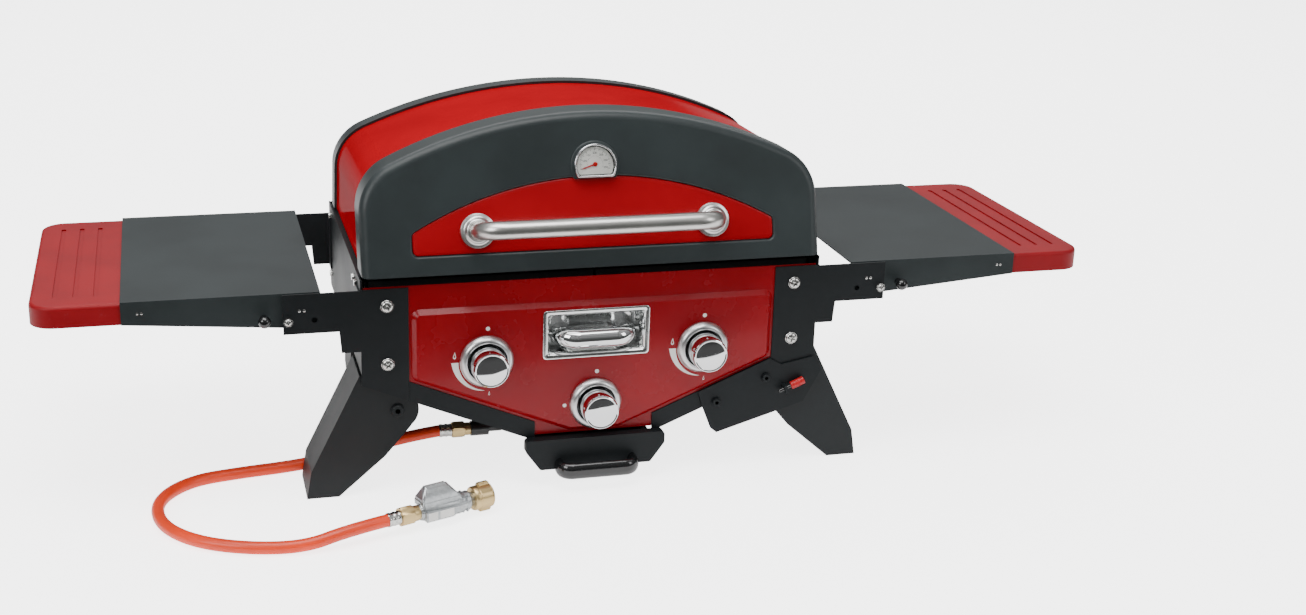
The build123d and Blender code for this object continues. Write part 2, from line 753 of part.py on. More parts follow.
def shelf_end():
    """The moulded end: a shallow cap with rounded corners whose tongue runs under the sheet."""
    gap = 0.3
    top = SHELF_TOP - SHEET - gap
    low = SHELF_EDGE
    y_low, y_high = SHELF_FRONT + SHEET + gap, REACH - SHEET - gap
    middle = (y_low + y_high) / 2
    inner = SHELF_OUTER - 30
    depth = y_high - y_low
    outline = Pos((inner + SHELF_END) / 2, middle) * Rectangle(SHELF_END - inner, depth)
    corners = outline.vertices().group_by(Axis.X)[-1]
    outline = fillet(corners, 26)
    cap = extrude(Pos(0, 0, low) * outline, top - low)
    rim = cap.faces().sort_by(Axis.Z)[-1].edges()
    cap = fillet(rim.filter_by(lambda e: (e @ 0.5).X > SHELF_OUTER + 20), 4)
    hollow = Pos((inner + SHELF_END) / 2 - 3, middle) * Rectangle(SHELF_END - inner, depth - 6)
    hollow = fillet(hollow.vertices().group_by(Axis.X)[-1], 23)
    cap -= extrude(Pos(0, 0, low - 1) * hollow, top - 3 - low + 1)
    for i in range(3):
        groove = Pos(515 + 20 * i, middle) * SlotOverall(depth - 60, 5, rotation=90)
        cap -= extrude(Pos(0, 0, top - 1.5) * groove, 2)
    return cap


def pivot_screw(y_head, direction):
    """A shouldered screw through a bracket and a shelf flange, its head towards -Y."""
    x, z = SHELF_PIVOT
    screw = rod_y(x, z, 5, y_head - 4, y_head)
    length = SHELF_FRONT + SHEET - FRONT if direction == "front" else REACH - (BACK - BRACKET)
    screw += rod_y(x, z, PIVOT_RADIUS, y_head, y_head + length)
    if direction == "front":
        screw += rod_y(x, z, 5, y_head + length, y_head + length + 4)
    return screw


def shelf_lock():
    """The ball-headed plunger in the shelf's front flange."""
    x, z = SHELF_LOCK
    ball = Pos(x, SHELF_FRONT - 11.5, z) * Sphere(6.5)
    neck = rod_y(x, z, 4, SHELF_FRONT - 8, SHELF_FRONT - 0.3)
    return ball + neck + rod_y(x, z, LOCK_RADIUS, SHELF_FRONT - 1, SHELF_FRONT + 12)


BRACKET = 2.0
PIVOT_RADIUS = 3.0
SHELF_LOCK = (350.0, 206.0)
LOCK_RADIUS = 2.5

save("shelf_brackets", *[s for b in bracket_pair() for s in both_sides(b)])
save("right_shelf_top", shelf_top())
save("left_shelf_top", on_left(shelf_top()))
save("right_shelf_end", shelf_end())
save("left_shelf_end", on_left(shelf_end()))
screws = [pivot_screw(FRONT, "front"), pivot_screw(BACK - BRACKET, "rear")]
save("shelf_pivots", *[s for screw in screws for s in both_sides(screw)])
save("right_shelf_lock", shelf_lock())
save("left_shelf_lock", on_left(shelf_lock()))


# ---- folding legs ----
def leg_channel(pivot, round_end, outer, inner, y_front):
    """A right-hand leg: two cheeks of one outline, joined by a web along the outer edge."""
    (px, pz), depth = pivot, LEG_DEPTH
    cheek = polygon(*outer, *inner, (px - round_end, pz), (px, pz + round_end * 0.9))
    cheek += Pos(px, pz) * Circle(round_end)
    leg = plate_y(cheek, y_front, y_front + depth)
    thin = LEG_SHEET
    inside_web = polygon(*[(x - thin * 1.12, z) for x, z in outer], (0, 0), (0, 200))
    leg -= plate_y(inside_web, y_front + thin, y_front + depth - thin)
    return leg - rod_y(px, pz, BOLT_RADIUS + RUNNING, y_front - 1, y_front + depth + 1)


def leg_ear(pivot, y_low):
    """One of the two plates under the firebox that hold a leg's bolt."""
    px, pz = pivot
    left, right = px - 14, min(px + 24, 236)
    outline = polygon(
        (px - 13, pz),
        (left, hearth_low(left) - 0.1),
        (right, hearth_low(right) - 0.1),
        (px + 13, pz),
    )
    outline += Pos(px, pz) * Circle(13)
    ear = plate_y(outline, y_low, y_low + LEG_SHEET)
    return ear - rod_y(px, pz, BOLT_RADIUS + 0.02, y_low - 1, y_low + LEG_SHEET + 1)


def leg_bolt(pivot, y_front):
    head = rod_y(*pivot, 7, y_front - 2.5, y_front - 0.2)
    return head + rod_y(*pivot, BOLT_RADIUS, y_front - 0.2, y_front + LEG_DEPTH + 1)


FRONT_LEG_Y = FRONT + 5
REAR_LEG_Y = BACK - SHEET * 2 - LEG_DEPTH - 1
front_leg = leg_channel(
    FRONT_LEG_PIVOT, 23, [(254, 136), (307, 30), (312, 0)], [(278, 0), (228, 43), (200, 76)], FRONT_LEG_Y
)
rear_leg = leg_channel(
    REAR_LEG_PIVOT, 21, [(236, 126), (238, 40), (234, 0)], [(202, 0), (186, 60), (182, 80)], REAR_LEG_Y
)

save("front_right_leg", front_leg)
save("front_left_leg", on_left(front_leg))
save("rear_right_leg", rear_leg)
save("rear_left_leg", on_left(rear_leg))

ears = []
bolts = []
for pivot, y_front in ((FRONT_LEG_PIVOT, FRONT_LEG_Y), (REAR_LEG_PIVOT, REAR_LEG_Y)):
    for y_low in (y_front + LEG_SHEET + 1, y_front + LEG_DEPTH - 2 * LEG_SHEET - 1):
        ears += both_sides(leg_ear(pivot, y_low))
    bolts += both_sides(leg_bolt(pivot, y_front))
save("leg_ears", *ears)
save("leg_bolts", *bolts)


# ---- leg lock on the front right ----
def lock_plate():
    """The plate bolted over the right rail, with the lug that guides the red latch."""
    outline = polygon(
        (118, rail_low(118) + RAIL_HEIGHT),
        (124, rail_low(124)),
        (134, 49),
        (141, 43),
        (202, 61),
        (242, 73),
        (262, 110),
        (251, 126),
        (214, 119),
        (POST_INNER - 2, rail_low(200) + RAIL_HEIGHT),
    )
    plate = plate_y(outline, FRONT - 2.2, FRONT - 0.2)
    for x, z in LOCK_BOLTS:
        plate += rod_y(x, z, 5, FRONT - 5, FRONT - 2)
    lug = latch_place * Pos(LATCH_LUG, 0, 0) * Box(3, 14, 10)
    plate += lug & block((200, 260), (LATCH_Y - 5, FRONT - 2), (60, 130))
    return plate - latch_place * Rot(0, 90, 0) * Cylinder(2 + RUNNING, 40)


def leg_latch():
    """The red button and its rod, which slides through the lug."""
    button = latch_place * Rot(0, 90, 0) * Cylinder(4.5, 16)
    return button + latch_place * Pos(LATCH_LUG + 2, 0, 0) * Rot(0, 90, 0) * Cylinder(2, 18)


LOCK_BOLTS = [(196.0, 105.0), (139.0, 80.0)]
LATCH_Y = FRONT - 2.2 - 5.3
LATCH_TILT = 23.0
LATCH_LUG = -15.0         # the lug's place along the latch: 5.5 free in front of the button
latch_place = Pos(232, LATCH_Y, 98) * Rot(0, -LATCH_TILT, 0)

save("leg_lock_plate", lock_plate())
save("leg_latch", leg_latch())


# ---- gas inlet, hose and regulator ----
def inlet_pipe():
    """The pipe from the manifold down and back under the body, ending in the hose union."""
    x, y, z = -80.0, HOSE_START[1], HOSE_START[2]
    points = [(x, MANIFOLD_Y, 112), (x, MANIFOLD_Y, 62), (x, y, 62), (x, y, z), (INLET_FACE + 20, y, z)]
    pipe = tube_along(FilletPolyline(*points, radius=10), 5)
    pipe -= tube_along(manifold_path(), MANIFOLD_RADIUS + 0.02)
    pipe += rod_x(y, z, 8.5, INLET_FACE, INLET_FACE + 20)
    return pipe + rod_x(y, z, 6, INLET_FACE - 6, INLET_FACE)


def hex_nut(across, bore, length):
    """A hexagonal nut along local +X, from the local origin."""
    nut = extrude(Plane.YZ * RegularPolygon(across / 2, 6, major_radius=False), length)
    return nut - extrude(disc(0, bore), length)


def ferrule(length):
    """The crimped sleeve on a hose end, along local +X."""
    sleeve = extrude(disc(0, 7.4), length)
    return fillet(sleeve.edges().filter_by(GeomType.CIRCLE), 1)


def hose():
    """The free hose: straight runs joined by arcs as large as the runs allow."""
    points = [Vector(*p) for p in HOSE_POINTS]
    runs = [b - a for a, b in zip(points, points[1:])]
    turns = [a.get_angle(b) for a, b in zip(runs, runs[1:])]
    radii = [
        0.45 * min(a.length, b.length) / math.tan(math.radians(turn / 2))
        for a, b, turn in zip(runs, runs[1:], turns)
    ]
    path = FilletPolyline(*points, radius=radii)
    print("hose length", round(path.length, 1), "radii", [round(r) for r in radii])
    tube = tube_along(path, HOSE_RADIUS)
    expected = math.pi * HOSE_RADIUS**2 * path.length
    print("hose volume over section times length", round(tube.volume / expected, 4))
    return tube


def regulator_body():
    """Die-cast body along local +X, with the faceted diaphragm housing on its shoulder."""
    body = extrude(disc(REG_START, 9), 8)
    body += loft([disc(REG_START + 8, 9), disc(REG_START + 20, 13.5)])
    body += extrude(disc(REG_START + 20, 13.5), 26)
    body += loft([disc(REG_START + 46, 13.5), disc(REG_START + 56, 9.5)])
    body += extrude(disc(REG_START + 56, 9.5), REG_END - REG_START - 56)
    body += extrude(disc(REG_END, 7), 8)
    tilt = Pos(REG_START + 30, 0, 0) * Rot(-28, 0, 0)
    low = tilt * Pos(0, 0, 6) * Rectangle(46, 24)
    high = tilt * Pos(-2, 0, 31) * Rectangle(24, 12)
    return body + loft([low, high])


def wing_nut():
    """The union nut for the gas bottle's valve: a threaded cup with two wings."""
    nut = extrude(disc(REG_END + 1, 14), 22)
    for turn in (40, 220):
        wing = Rot(turn, 0, 0) * block((REG_END + 7, REG_END + 21), (-2.5, 2.5), (12, 15.8))
        nut += wing
    nut -= extrude(disc(REG_END, 7 + RUNNING), 10)
    return nut - extrude(disc(REG_END + 9, UNION_BORE), 15)


INLET_FACE = -122.5
HOSE_POINTS = [
    HOSE_START,
    (-204.0, -60.0, 30.0),
    (-262.0, -60.0, 14.0),
    (-322.0, -61.5, 6.8),
    (-378.0, -68.0, 6.8),
    (-433.0, -80.0, 6.8),
    (-468.0, -125.0, 6.8),
    (-464.0, -183.0, 6.8),
    (-431.0, -228.0, 6.8),
    (-379.0, -254.0, 6.8),
    (-324.0, -261.0, 6.8),
    (-282.29, -253.39, 16.5),
    REGULATOR_START,
]
FERRULE = 14.0
REG_START = FERRULE + 22.0
REG_END = REG_START + 62.0
UNION_BORE = 10.9

regulator_place = Pos(*REGULATOR_START) * Rot(0, 0, REGULATOR_HEADING)
inlet_place = Pos(*HOSE_START)
near_length = INLET_FACE - HOSE_START[0] - FERRULE
near_nut = inlet_place * Pos(FERRULE, 0, 0) * hex_nut(17, 6.02, near_length)
far_nut = regulator_place * Pos(FERRULE, 0, 0) * hex_nut(19, 4, REG_START - FERRULE)

save("inlet_pipe", inlet_pipe())
save("gas_hose", hose())
save("hose_ferrules", inlet_place * ferrule(FERRULE), regulator_place * ferrule(FERRULE))
save("hose_nuts", near_nut, far_nut)
save("regulator_body", regulator_place * regulator_body())
save("wing_nut", regulator_place * wing_nut())
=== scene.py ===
# %% [markdown]
# # A table-top gas barbecue
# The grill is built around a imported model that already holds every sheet, tube and casting at
# its real size. The lesson starts with that model, the camera and the gas hose, because the
# hose is the one piece that lies free on the ground and its room has to be known first. Then
# come the finishes, and after them the small pieces that make the grill look made and used.

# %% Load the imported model
import json
import math
from math import cos, pi, radians, sin

import bmesh
import bpy
from mathutils import Matrix, Vector


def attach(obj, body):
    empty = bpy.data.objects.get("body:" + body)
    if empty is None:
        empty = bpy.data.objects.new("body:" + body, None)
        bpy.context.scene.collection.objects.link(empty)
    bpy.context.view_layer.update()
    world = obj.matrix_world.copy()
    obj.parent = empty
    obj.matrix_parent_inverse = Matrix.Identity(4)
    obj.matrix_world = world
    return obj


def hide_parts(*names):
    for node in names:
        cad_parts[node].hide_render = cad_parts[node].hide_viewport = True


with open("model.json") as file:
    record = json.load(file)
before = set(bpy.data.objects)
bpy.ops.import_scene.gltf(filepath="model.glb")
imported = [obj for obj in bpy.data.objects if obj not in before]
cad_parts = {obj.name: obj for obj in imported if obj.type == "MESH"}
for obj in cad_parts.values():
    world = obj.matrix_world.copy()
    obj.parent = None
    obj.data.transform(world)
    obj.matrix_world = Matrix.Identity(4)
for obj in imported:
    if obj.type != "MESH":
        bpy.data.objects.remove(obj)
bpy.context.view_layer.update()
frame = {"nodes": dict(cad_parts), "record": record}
nodes = frame["nodes"]
MM = 0.001

# %% [markdown]
# ## The camera
# The camera stands a little left of the grill and well above it, and looks down by eighteen
# degrees. Its place and its three angles are plain numbers, and the view axes are worked out
# from them, because a matrix made of three known axes can't turn the wrong way round.

# %% Place the camera
LOOK_FROM = Vector((-0.4392, -1.8394, 0.7948))
YAW, PITCH, ROLL = radians(14.8), radians(17.93), radians(1.407)

ahead = Vector((sin(YAW) * cos(PITCH), cos(YAW) * cos(PITCH), -sin(PITCH)))
level = Vector((cos(YAW), -sin(YAW), 0))
above = level.cross(ahead)
across = level * cos(ROLL) + above * sin(ROLL)
upright = above * cos(ROLL) - level * sin(ROLL)

lens = bpy.data.cameras.new("camera")
lens.lens = 47.65
lens.sensor_width = 36
lens.shift_x, lens.shift_y = 0.0363, -0.0194
camera = bpy.data.objects.new("camera", lens)
axes = Matrix((across, upright, -ahead)).transposed().to_4x4()
camera.matrix_world = Matrix.Translation(LOOK_FROM) @ axes
bpy.context.scene.collection.objects.link(camera)
bpy.context.scene.camera = camera
print("camera", [round(v, 3) for v in camera.location])

# %% [markdown]
# ## Node trees in a few words
# Blender's finishes are graphs of nodes, and building them socket by socket makes long code.
# One small class holds a tree and adds a node in one call: its type, its settings, then the
# values or links of its sockets. Another wraps a socket, so that sums on sockets are written
# as sums, and each sign adds the Math node it stands for.

# %% A tree that adds nodes, and sockets that can be reckoned with
class Socket:
    """The output of a node. Arithmetic on it adds Math nodes to its tree."""

    def __init__(self, tree, socket):
        self.tree, self.socket = tree, socket

    def sum(self, operation, *values):
        return self.tree.node("ShaderNodeMath", {"operation": operation}, dict(enumerate(values)))

    def __add__(self, other):
        return self.sum("ADD", self, other)

    def __sub__(self, other):
        return self.sum("SUBTRACT", self, other)

    def __rsub__(self, other):
        return self.sum("SUBTRACT", other, self)

    def __mul__(self, other):
        return self.sum("MULTIPLY", self, other)

    def __neg__(self):
        return self.sum("MULTIPLY", self, -1.0)

    def step(self, low, high):
        """0 below low, 1 above high, and a soft rise between them."""
        inputs = {"Value": self, "From Min": low, "From Max": high}
        return self.tree.node("ShaderNodeMapRange", {"interpolation_type": "SMOOTHSTEP"}, inputs)

    __radd__ = __add__
    __rmul__ = __mul__


class Tree:
    """A node tree, and one method that makes any node in it."""

    def __init__(self, tree):
        self.tree = tree

    def node(self, kind, settings=None, inputs=None, output=0):
        made = self.tree.nodes.new(kind)
        for name, value in (settings or {}).items():
            if name == "stops":
                ramp = made.color_ramp
                while len(ramp.elements) < len(value):
                    ramp.elements.new(0.5)
                for stop, (place, colour) in zip(ramp.elements, value):
                    stop.position, stop.color = place, (*colour, 1)
            else:
                setattr(made, name, value)
        for name, value in (inputs or {}).items():
            self.feed(made.inputs[name], value)
        return Socket(self, made.outputs[output])

    def feed(self, socket, value):
        if isinstance(value, Socket):
            self.tree.links.new(value.socket, socket)
        else:
            socket.default_value = value


# %% [markdown]
# ## What every finish shares
# A finish is one Principled shader. Each pattern starts from Object coordinates, which are
# metres in the grill's own frame, so a grain of 1 mm is 1 mm on every piece. Colours are
# given as the eye sees them and turned into light values once.

# %% The finish class
def seen(red, green, blue):
    """A colour as the eye sees it, 0 to 255, as light values."""
    shares = [v / 255 for v in (red, green, blue)]
    return tuple(((v + 0.055) / 1.055) ** 2.4 if v > 0.04 else v / 12.92 for v in shares)


class Finish(Tree):
    """One material: a Principled shader and the patterns that feed it."""

    def __init__(self, name, slot, **constants):
        self.material = bpy.data.materials.new(name)
        self.material.use_nodes = True
        super().__init__(self.material.node_tree)
        self.slot = slot
        self.shader = self.tree.nodes["Principled BSDF"]
        self.set(**constants)

    def set(self, **values):
        """Sets sockets of the shader; an underscore in a name stands for a space."""
        for name, value in values.items():
            self.feed(self.shader.inputs[name.replace("_", " ")], value)
        return self

    def place(self, stretch=(1, 1, 1), centre=(0, 0, 0)):
        """Object coordinates, drawn out along an axis and counted from a centre."""
        here = self.node("ShaderNodeTexCoord", output=3)
        start = [-c * s for c, s in zip(centre, stretch)]
        moved = {"Vector": here, "Location": start, "Scale": stretch}
        return self.node("ShaderNodeMapping", None, moved)

    def noise(self, size, detail=3.0, where=None, rough=0.55):
        """Cloudy noise whose blobs are about this many millimetres."""
        inputs = {"Vector": where or self.place(), "Scale": 1000 / size}
        inputs |= {"Detail": detail, "Roughness": rough}
        return self.node("ShaderNodeTexNoise", None, inputs)

    def cells(self, size):
        """Small raised cells, as in a textured coat."""
        inputs = {"Vector": self.place(), "Scale": 1000 / size}
        return self.node("ShaderNodeTexVoronoi", None, inputs)

    def mix(self, amount, low, high):
        """A colour between two, each given as light values or as a socket."""
        full = [(*c, 1.0) if isinstance(c, tuple) else c for c in (low, high)]
        return self.node(
            "ShaderNodeMix", {"data_type": "RGBA"}, {0: amount, 6: full[0], 7: full[1]}, output=2
        )

    def bump(self, height, depth, strength=1.0, under=None):
        """A normal from a height that runs from 0 to 1 over this many millimetres."""
        inputs = {"Height": height, "Distance": depth * MM, "Strength": strength}
        if under:
            inputs["Normal"] = under
        return self.node("ShaderNodeBump", None, inputs)


def darker(colour, share):
    return tuple(v * share for v in colour)


# %% [markdown]
# ## Painted and plated finishes
# The grill has few kinds of surface but many of each, so every kind is one function with the
# sizes and shades as its arguments: a baked powder coat with its fine orange peel, a glossy
# enamel, brushed steel whose scratches run one way, polished plating, and moulded plastic.

# %% Powder coat
def powder_coat(slot, colour, grain=0.9, depth=0.035, rough=(0.42, 0.6), peel=0.7, shine=0.22):
    f = Finish(slot, slot, Specular_IOR_Level=shine)
    grains = f.noise(grain, 2.0)
    clouds = f.noise(90, 4.0)
    scuffs = f.noise(14, 6.0, rough=0.7).step(0.62, 0.8)
    shade = f.mix(clouds.step(0.3, 0.7), darker(colour, 0.86), darker(colour, 1.12))
    shade = f.mix(scuffs * 0.25, shade, darker(colour, 1.9))
    f.set(Base_Color=shade, Roughness=clouds * (rough[1] - rough[0]) + scuffs * 0.06 + rough[0])
    f.set(Normal=f.bump(grains, depth, peel, f.bump(f.noise(6, 2.0), depth * 1.2, 0.3)))
    return f


# %% Gloss enamel
def enamel(slot, colour, rough=0.16, peel=0.012, coat=0.3, shine=0.2, name=None):
    f = Finish(name or slot, slot, Coat_Roughness=0.1, Coat_IOR=1.4, Specular_IOR_Level=shine)
    clouds = f.noise(120, 4.0)
    smears = f.noise(60, 4.0, rough=0.6)
    dust = f.noise(0.8, 2.0).step(0.68, 0.74)
    shade = f.mix(clouds.step(0.25, 0.75), darker(colour, 0.88), darker(colour, 1.1))
    shade = f.mix(dust * 0.08, shade, darker(colour, 1.6))
    f.set(Base_Color=shade, Roughness=smears.step(0.3, 0.8) * 0.06 + rough)
    f.set(Coat_Weight=smears * -0.3 * coat + coat)
    f.set(Normal=f.bump(f.noise(3.2, 2.0), peel, 0.3))
    return f


# %% Brushed and machined metal
def brushed(slot, colour, along="x", rough=(0.2, 0.38), scratch=0.012):
    """Scratches are noise drawn out along the brushing."""
    f = Finish(slot, slot)
    stretch = {"x": (0.012, 1, 1), "y": (1, 0.012, 1)}[along]
    lines = f.noise(0.5, 4.0, f.place(stretch), 0.7)
    stains = f.noise(30, 5.0)
    shade = f.mix(lines, darker(colour, 0.8), darker(colour, 1.1))
    f.set(Base_Color=f.mix(stains.step(0.55, 0.8) * 0.3, shade, darker(colour, 0.7)), Metallic=1.0)
    f.set(Roughness=lines * (rough[1] - rough[0]) + stains * 0.08 + rough[0])
    f.set(Normal=f.bump(lines, scratch, 0.6))
    return f


def spun(slot, colour, centre, name, rough=(0.18, 0.34)):
    """Turned on a lathe: fine rings round the piece's own axis, which runs along Y."""
    f = Finish(name, slot)
    across_axis = f.place((1, 0, 1), centre)
    away = f.node("ShaderNodeVectorMath", {"operation": "LENGTH"}, {0: across_axis}, output=1)
    rings = {"W": away, "Scale": 2600.0, "Detail": 3.0}
    rings = f.node("ShaderNodeTexNoise", {"noise_dimensions": "1D"}, rings)
    stains = f.noise(12, 4.0)
    f.set(Base_Color=f.mix(rings, darker(colour, 0.78), darker(colour, 1.1)), Metallic=1.0)
    f.set(Roughness=rings * (rough[1] - rough[0]) + stains * 0.08 + rough[0])
    f.set(Normal=f.bump(rings, 0.02, 0.5))
    return f


def plated(slot, colour, rough=0.04, name=None):
    """Polished plating: nearly a mirror, with faint fingerprints and a slow wave in the metal."""
    f = Finish(name or slot, slot, IOR=1.5)
    prints = f.noise(7, 6.0, rough=0.7).step(0.5, 0.8)
    f.set(Base_Color=f.mix(prints * 0.5, colour, darker(colour, 0.86)), Metallic=1.0)
    f.set(Roughness=prints * 0.08 + rough, Normal=f.bump(f.noise(16, 1.0), 0.03, 0.25))
    return f


# %% Moulded plastic, rubber and castings
def moulded(slot, colour, rough=0.45, grain=0.6, depth=0.02, coat=0.0, shine=0.5):
    f = Finish(slot, slot, Coat_Roughness=0.1, Specular_IOR_Level=shine)
    clouds = f.noise(60, 4.0)
    scuffs = f.noise(9, 6.0, rough=0.7).step(0.6, 0.78)
    shade = f.mix(clouds.step(0.3, 0.7), darker(colour, 0.9), darker(colour, 1.1))
    f.set(Base_Color=f.mix(scuffs * 0.16, shade, tuple(v * 0.7 + 0.12 for v in colour)))
    f.set(Roughness=scuffs * 0.1 + clouds * 0.1 + rough, Coat_Weight=coat)
    f.set(Normal=f.bump(f.cells(grain), depth, 0.5))
    return f


def cast_metal(slot, colour, metallic, rough=(0.45, 0.65), grain=1.1, depth=0.12):
    f = Finish(slot, slot, Metallic=metallic)
    grains = f.noise(grain, 3.0)
    pits = f.noise(4, 5.0, rough=0.7)
    shade = f.mix(pits.step(0.3, 0.7), darker(colour, 0.8), darker(colour, 1.15))
    f.set(Base_Color=shade, Roughness=grains * (rough[1] - rough[0]) + rough[0])
    f.set(Normal=f.bump(grains, depth, 0.6, f.bump(pits, depth * 2, 0.3)))
    return f


# %% [markdown]
# ## The grill's palette
# The lid is a brighter red than the panel, the castings at the ends of the lid are a cool dark
# grey, and the sheet metal is nearly black. Every finish keeps the name of the slot it stands
# for, so that a later user can repaint one part of the grill at a time.

# %% Make the finishes
COLOURS = {
    "lid_red": seen(160, 8, 22),
    "panel_red": seen(138, 8, 20),
    "shelf_red": seen(142, 8, 20),
    "black": seen(22, 26, 28),
    "hose": seen(236, 62, 12),
    "brass": (0.68, 0.5, 0.24),
    "steel": (0.62, 0.61, 0.58),
}
finishes = {
    "lid_red": enamel("lid_red", COLOURS["lid_red"], 0.2),
    "panel_red": enamel("panel_red", COLOURS["panel_red"], 0.24),
    "anthracite": powder_coat("anthracite", seen(44, 51, 52), 1.2, 0.05, (0.34, 0.46), shine=0.4),
    "black_powder": powder_coat("black_powder", COLOURS["black"]),
    "leg_grey": powder_coat("leg_grey", COLOURS["black"], shine=0.3),
    "shelf_grey": powder_coat("shelf_grey", seen(44, 50, 51), 0.8, 0.03, (0.4, 0.55)),
    "shelf_red": moulded("shelf_red", COLOURS["shelf_red"], 0.42, shine=0.25),
    "galvanised": brushed("galvanised", (0.5, 0.51, 0.52), "y", (0.35, 0.55)),
    "firebox_enamel": powder_coat("firebox_enamel", seen(30, 31, 33), 2.2, 0.06, (0.25, 0.4)),
    "cast_iron": cast_metal("cast_iron", seen(40, 40, 41), 0.3),
    "stainless": brushed("stainless", COLOURS["steel"], "y"),
    "brass": brushed("brass", COLOURS["brass"], "x", (0.22, 0.4)),
    "chrome": plated("chrome", (0.78, 0.79, 0.8)),
    "brushed_bezel": brushed("brushed_bezel", (0.7, 0.7, 0.69), "x"),
    "brushed_handle": brushed("brushed_handle", (0.68, 0.67, 0.64), "x", (0.2, 0.34)),
    "zinc_screw": cast_metal("zinc_screw", (0.62, 0.62, 0.6), 1.0, (0.16, 0.3), 2.0, 0.01),
    "black_gloss": moulded("black_gloss", seen(16, 17, 18), 0.12, 3.0, 0.01, 0.6),
    "latch_red": moulded("latch_red", seen(190, 20, 26), 0.35),
    "dial_white": moulded("dial_white", seen(236, 236, 230), 0.4, 0.5, 0.004),
    "needle_red": enamel("needle_red", seen(190, 20, 20), 0.35),
    "hose_orange": moulded("hose_orange", COLOURS["hose"], 0.36, 0.7, 0.015, 0.15),
    "regulator_grey": cast_metal("regulator_grey", (0.44, 0.46, 0.47), 0.9, (0.28, 0.42), 0.7, 0.03),
}
glass = Finish("lens_glass", "lens_glass", Transmission_Weight=1.0, IOR=1.47)
fingerprints = glass.noise(8, 4.0).step(0.5, 0.9) * 0.08 + 0.01
glass.set(Base_Color=(0.97, 0.99, 0.98, 1), Roughness=fingerprints, Alpha=0.35)
finishes["lens_glass"] = glass
print("finishes", len(finishes))

# %% [markdown]
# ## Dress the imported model
# A node whose shape is already right only needs its finish. The record says which slot each
# node belongs to, so one loop does them all. Three nodes look a little different from the rest
# of their slot and have a finish of their own: the lid's skin is less glossy than its insert,
# the tray's rails are painted, and the inlet pipe is satin.

# %% Give every node its finish
own = {
    "lid_skin": enamel("lid_red", COLOURS["lid_red"], 0.34, 0.012, 0.09, 0.0, "lid_skin_red"),
    "tray_rails": finishes["black_powder"],
    "inlet_pipe": moulded("black_gloss", seen(22, 23, 24), 0.3, 2.0, 0.02, 0.3),
}
for entry in frame["record"]["subparts"]:
    mesh = nodes[entry["node"]].data
    mesh.materials.clear()
    mesh.materials.append(own.get(entry["node"], finishes[entry["material_slot"]]).material)

# %% [markdown]
# ## The gas hose
# An orange rubber hose, 13 mm thick, leaves the union under the body, drops to the ground
# behind the left front leg, turns back on itself in one wide loop and comes forward to the
# regulator. It is one NURBS curve through the air and along the ground, because rubber takes
# a smooth line by itself, and its round section is the curve's own bevel.

# %% Make the hose
HOSE_RADIUS = 6.65 * MM
HOSE_ROUTE = [
    (-0.158, -0.060, 0.035),
    (-0.204, -0.060, 0.030),
    (-0.262, -0.060, 0.014),
    (-0.322, -0.0615, 0.0068),
    (-0.378, -0.068, 0.0068),
    (-0.433, -0.080, 0.0068),
    (-0.468, -0.125, 0.0068),
    (-0.464, -0.183, 0.0068),
    (-0.431, -0.228, 0.0068),
    (-0.379, -0.254, 0.0068),
    (-0.324, -0.261, 0.0068),
    (-0.28229, -0.25339, 0.0165),
    (-0.240, -0.238, 0.0165),
]
line = bpy.data.curves.new("gas_hose_line", "CURVE")
line.dimensions = "3D"
spline = line.splines.new("NURBS")
spline.points.add(len(HOSE_ROUTE) - 1)
for point, place in zip(spline.points, HOSE_ROUTE):
    point.co = (*place, 1)
spline.order_u = 3
spline.use_endpoint_u = True
spline.resolution_u = 14
line.bevel_depth = HOSE_RADIUS
line.bevel_resolution = 8
line.materials.append(finishes["hose_orange"].material)
hose = bpy.data.objects.new("hose", line)
bpy.context.scene.collection.objects.link(hose)
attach(hose, "body")
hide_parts("gas_hose")
print("hose points", len(HOSE_ROUTE))

# %% [markdown]
# ## Shaping tools
# A few helpers make nearly every small part. One joins a row of equal loops into a skin, one
# turns a profile round an axis the way a lathe does, and one rounds the corners of an outline.
# Another puts the finished mesh on its body. Meshes are drawn flat, in millimetres, where
# they are easy to think about, and one matrix then carries them to their place.

# %% Loops, outlines and places
def skin(loops, caps=(True, True), wrap=False):
    """Joins loops of equal length into a mesh. Wrap also joins the last to the first."""
    mesh = bmesh.new()
    rows = [[mesh.verts.new(point) for point in loop] for loop in loops]
    for low, high in zip(rows, rows[1:] + ([rows[0]] if wrap else [])):
        for i in range(len(low)):
            j = (i + 1) % len(low)
            mesh.faces.new((low[i], low[j], high[j], high[i]))
    if not wrap:
        for row, cap in zip((rows[0], rows[-1]), caps):
            if cap:
                mesh.faces.new(row)
    return mesh


def turned(profile, steps=64, wrap=False, sides=None):
    """Turns (radius, height) points round Z. Sides clips the radius to a regular nut."""
    loops = []
    for radius, height in profile:
        loop = []
        for i in range(steps):
            angle = 2 * pi * i / steps
            reach = radius
            if sides:
                count, flat = sides
                inside = (angle + pi / count) % (2 * pi / count) - pi / count
                reach = min(radius, flat / cos(inside))
            loop.append((reach * cos(angle), reach * sin(angle), height))
        loops.append(loop)
    return skin(loops, wrap=wrap)


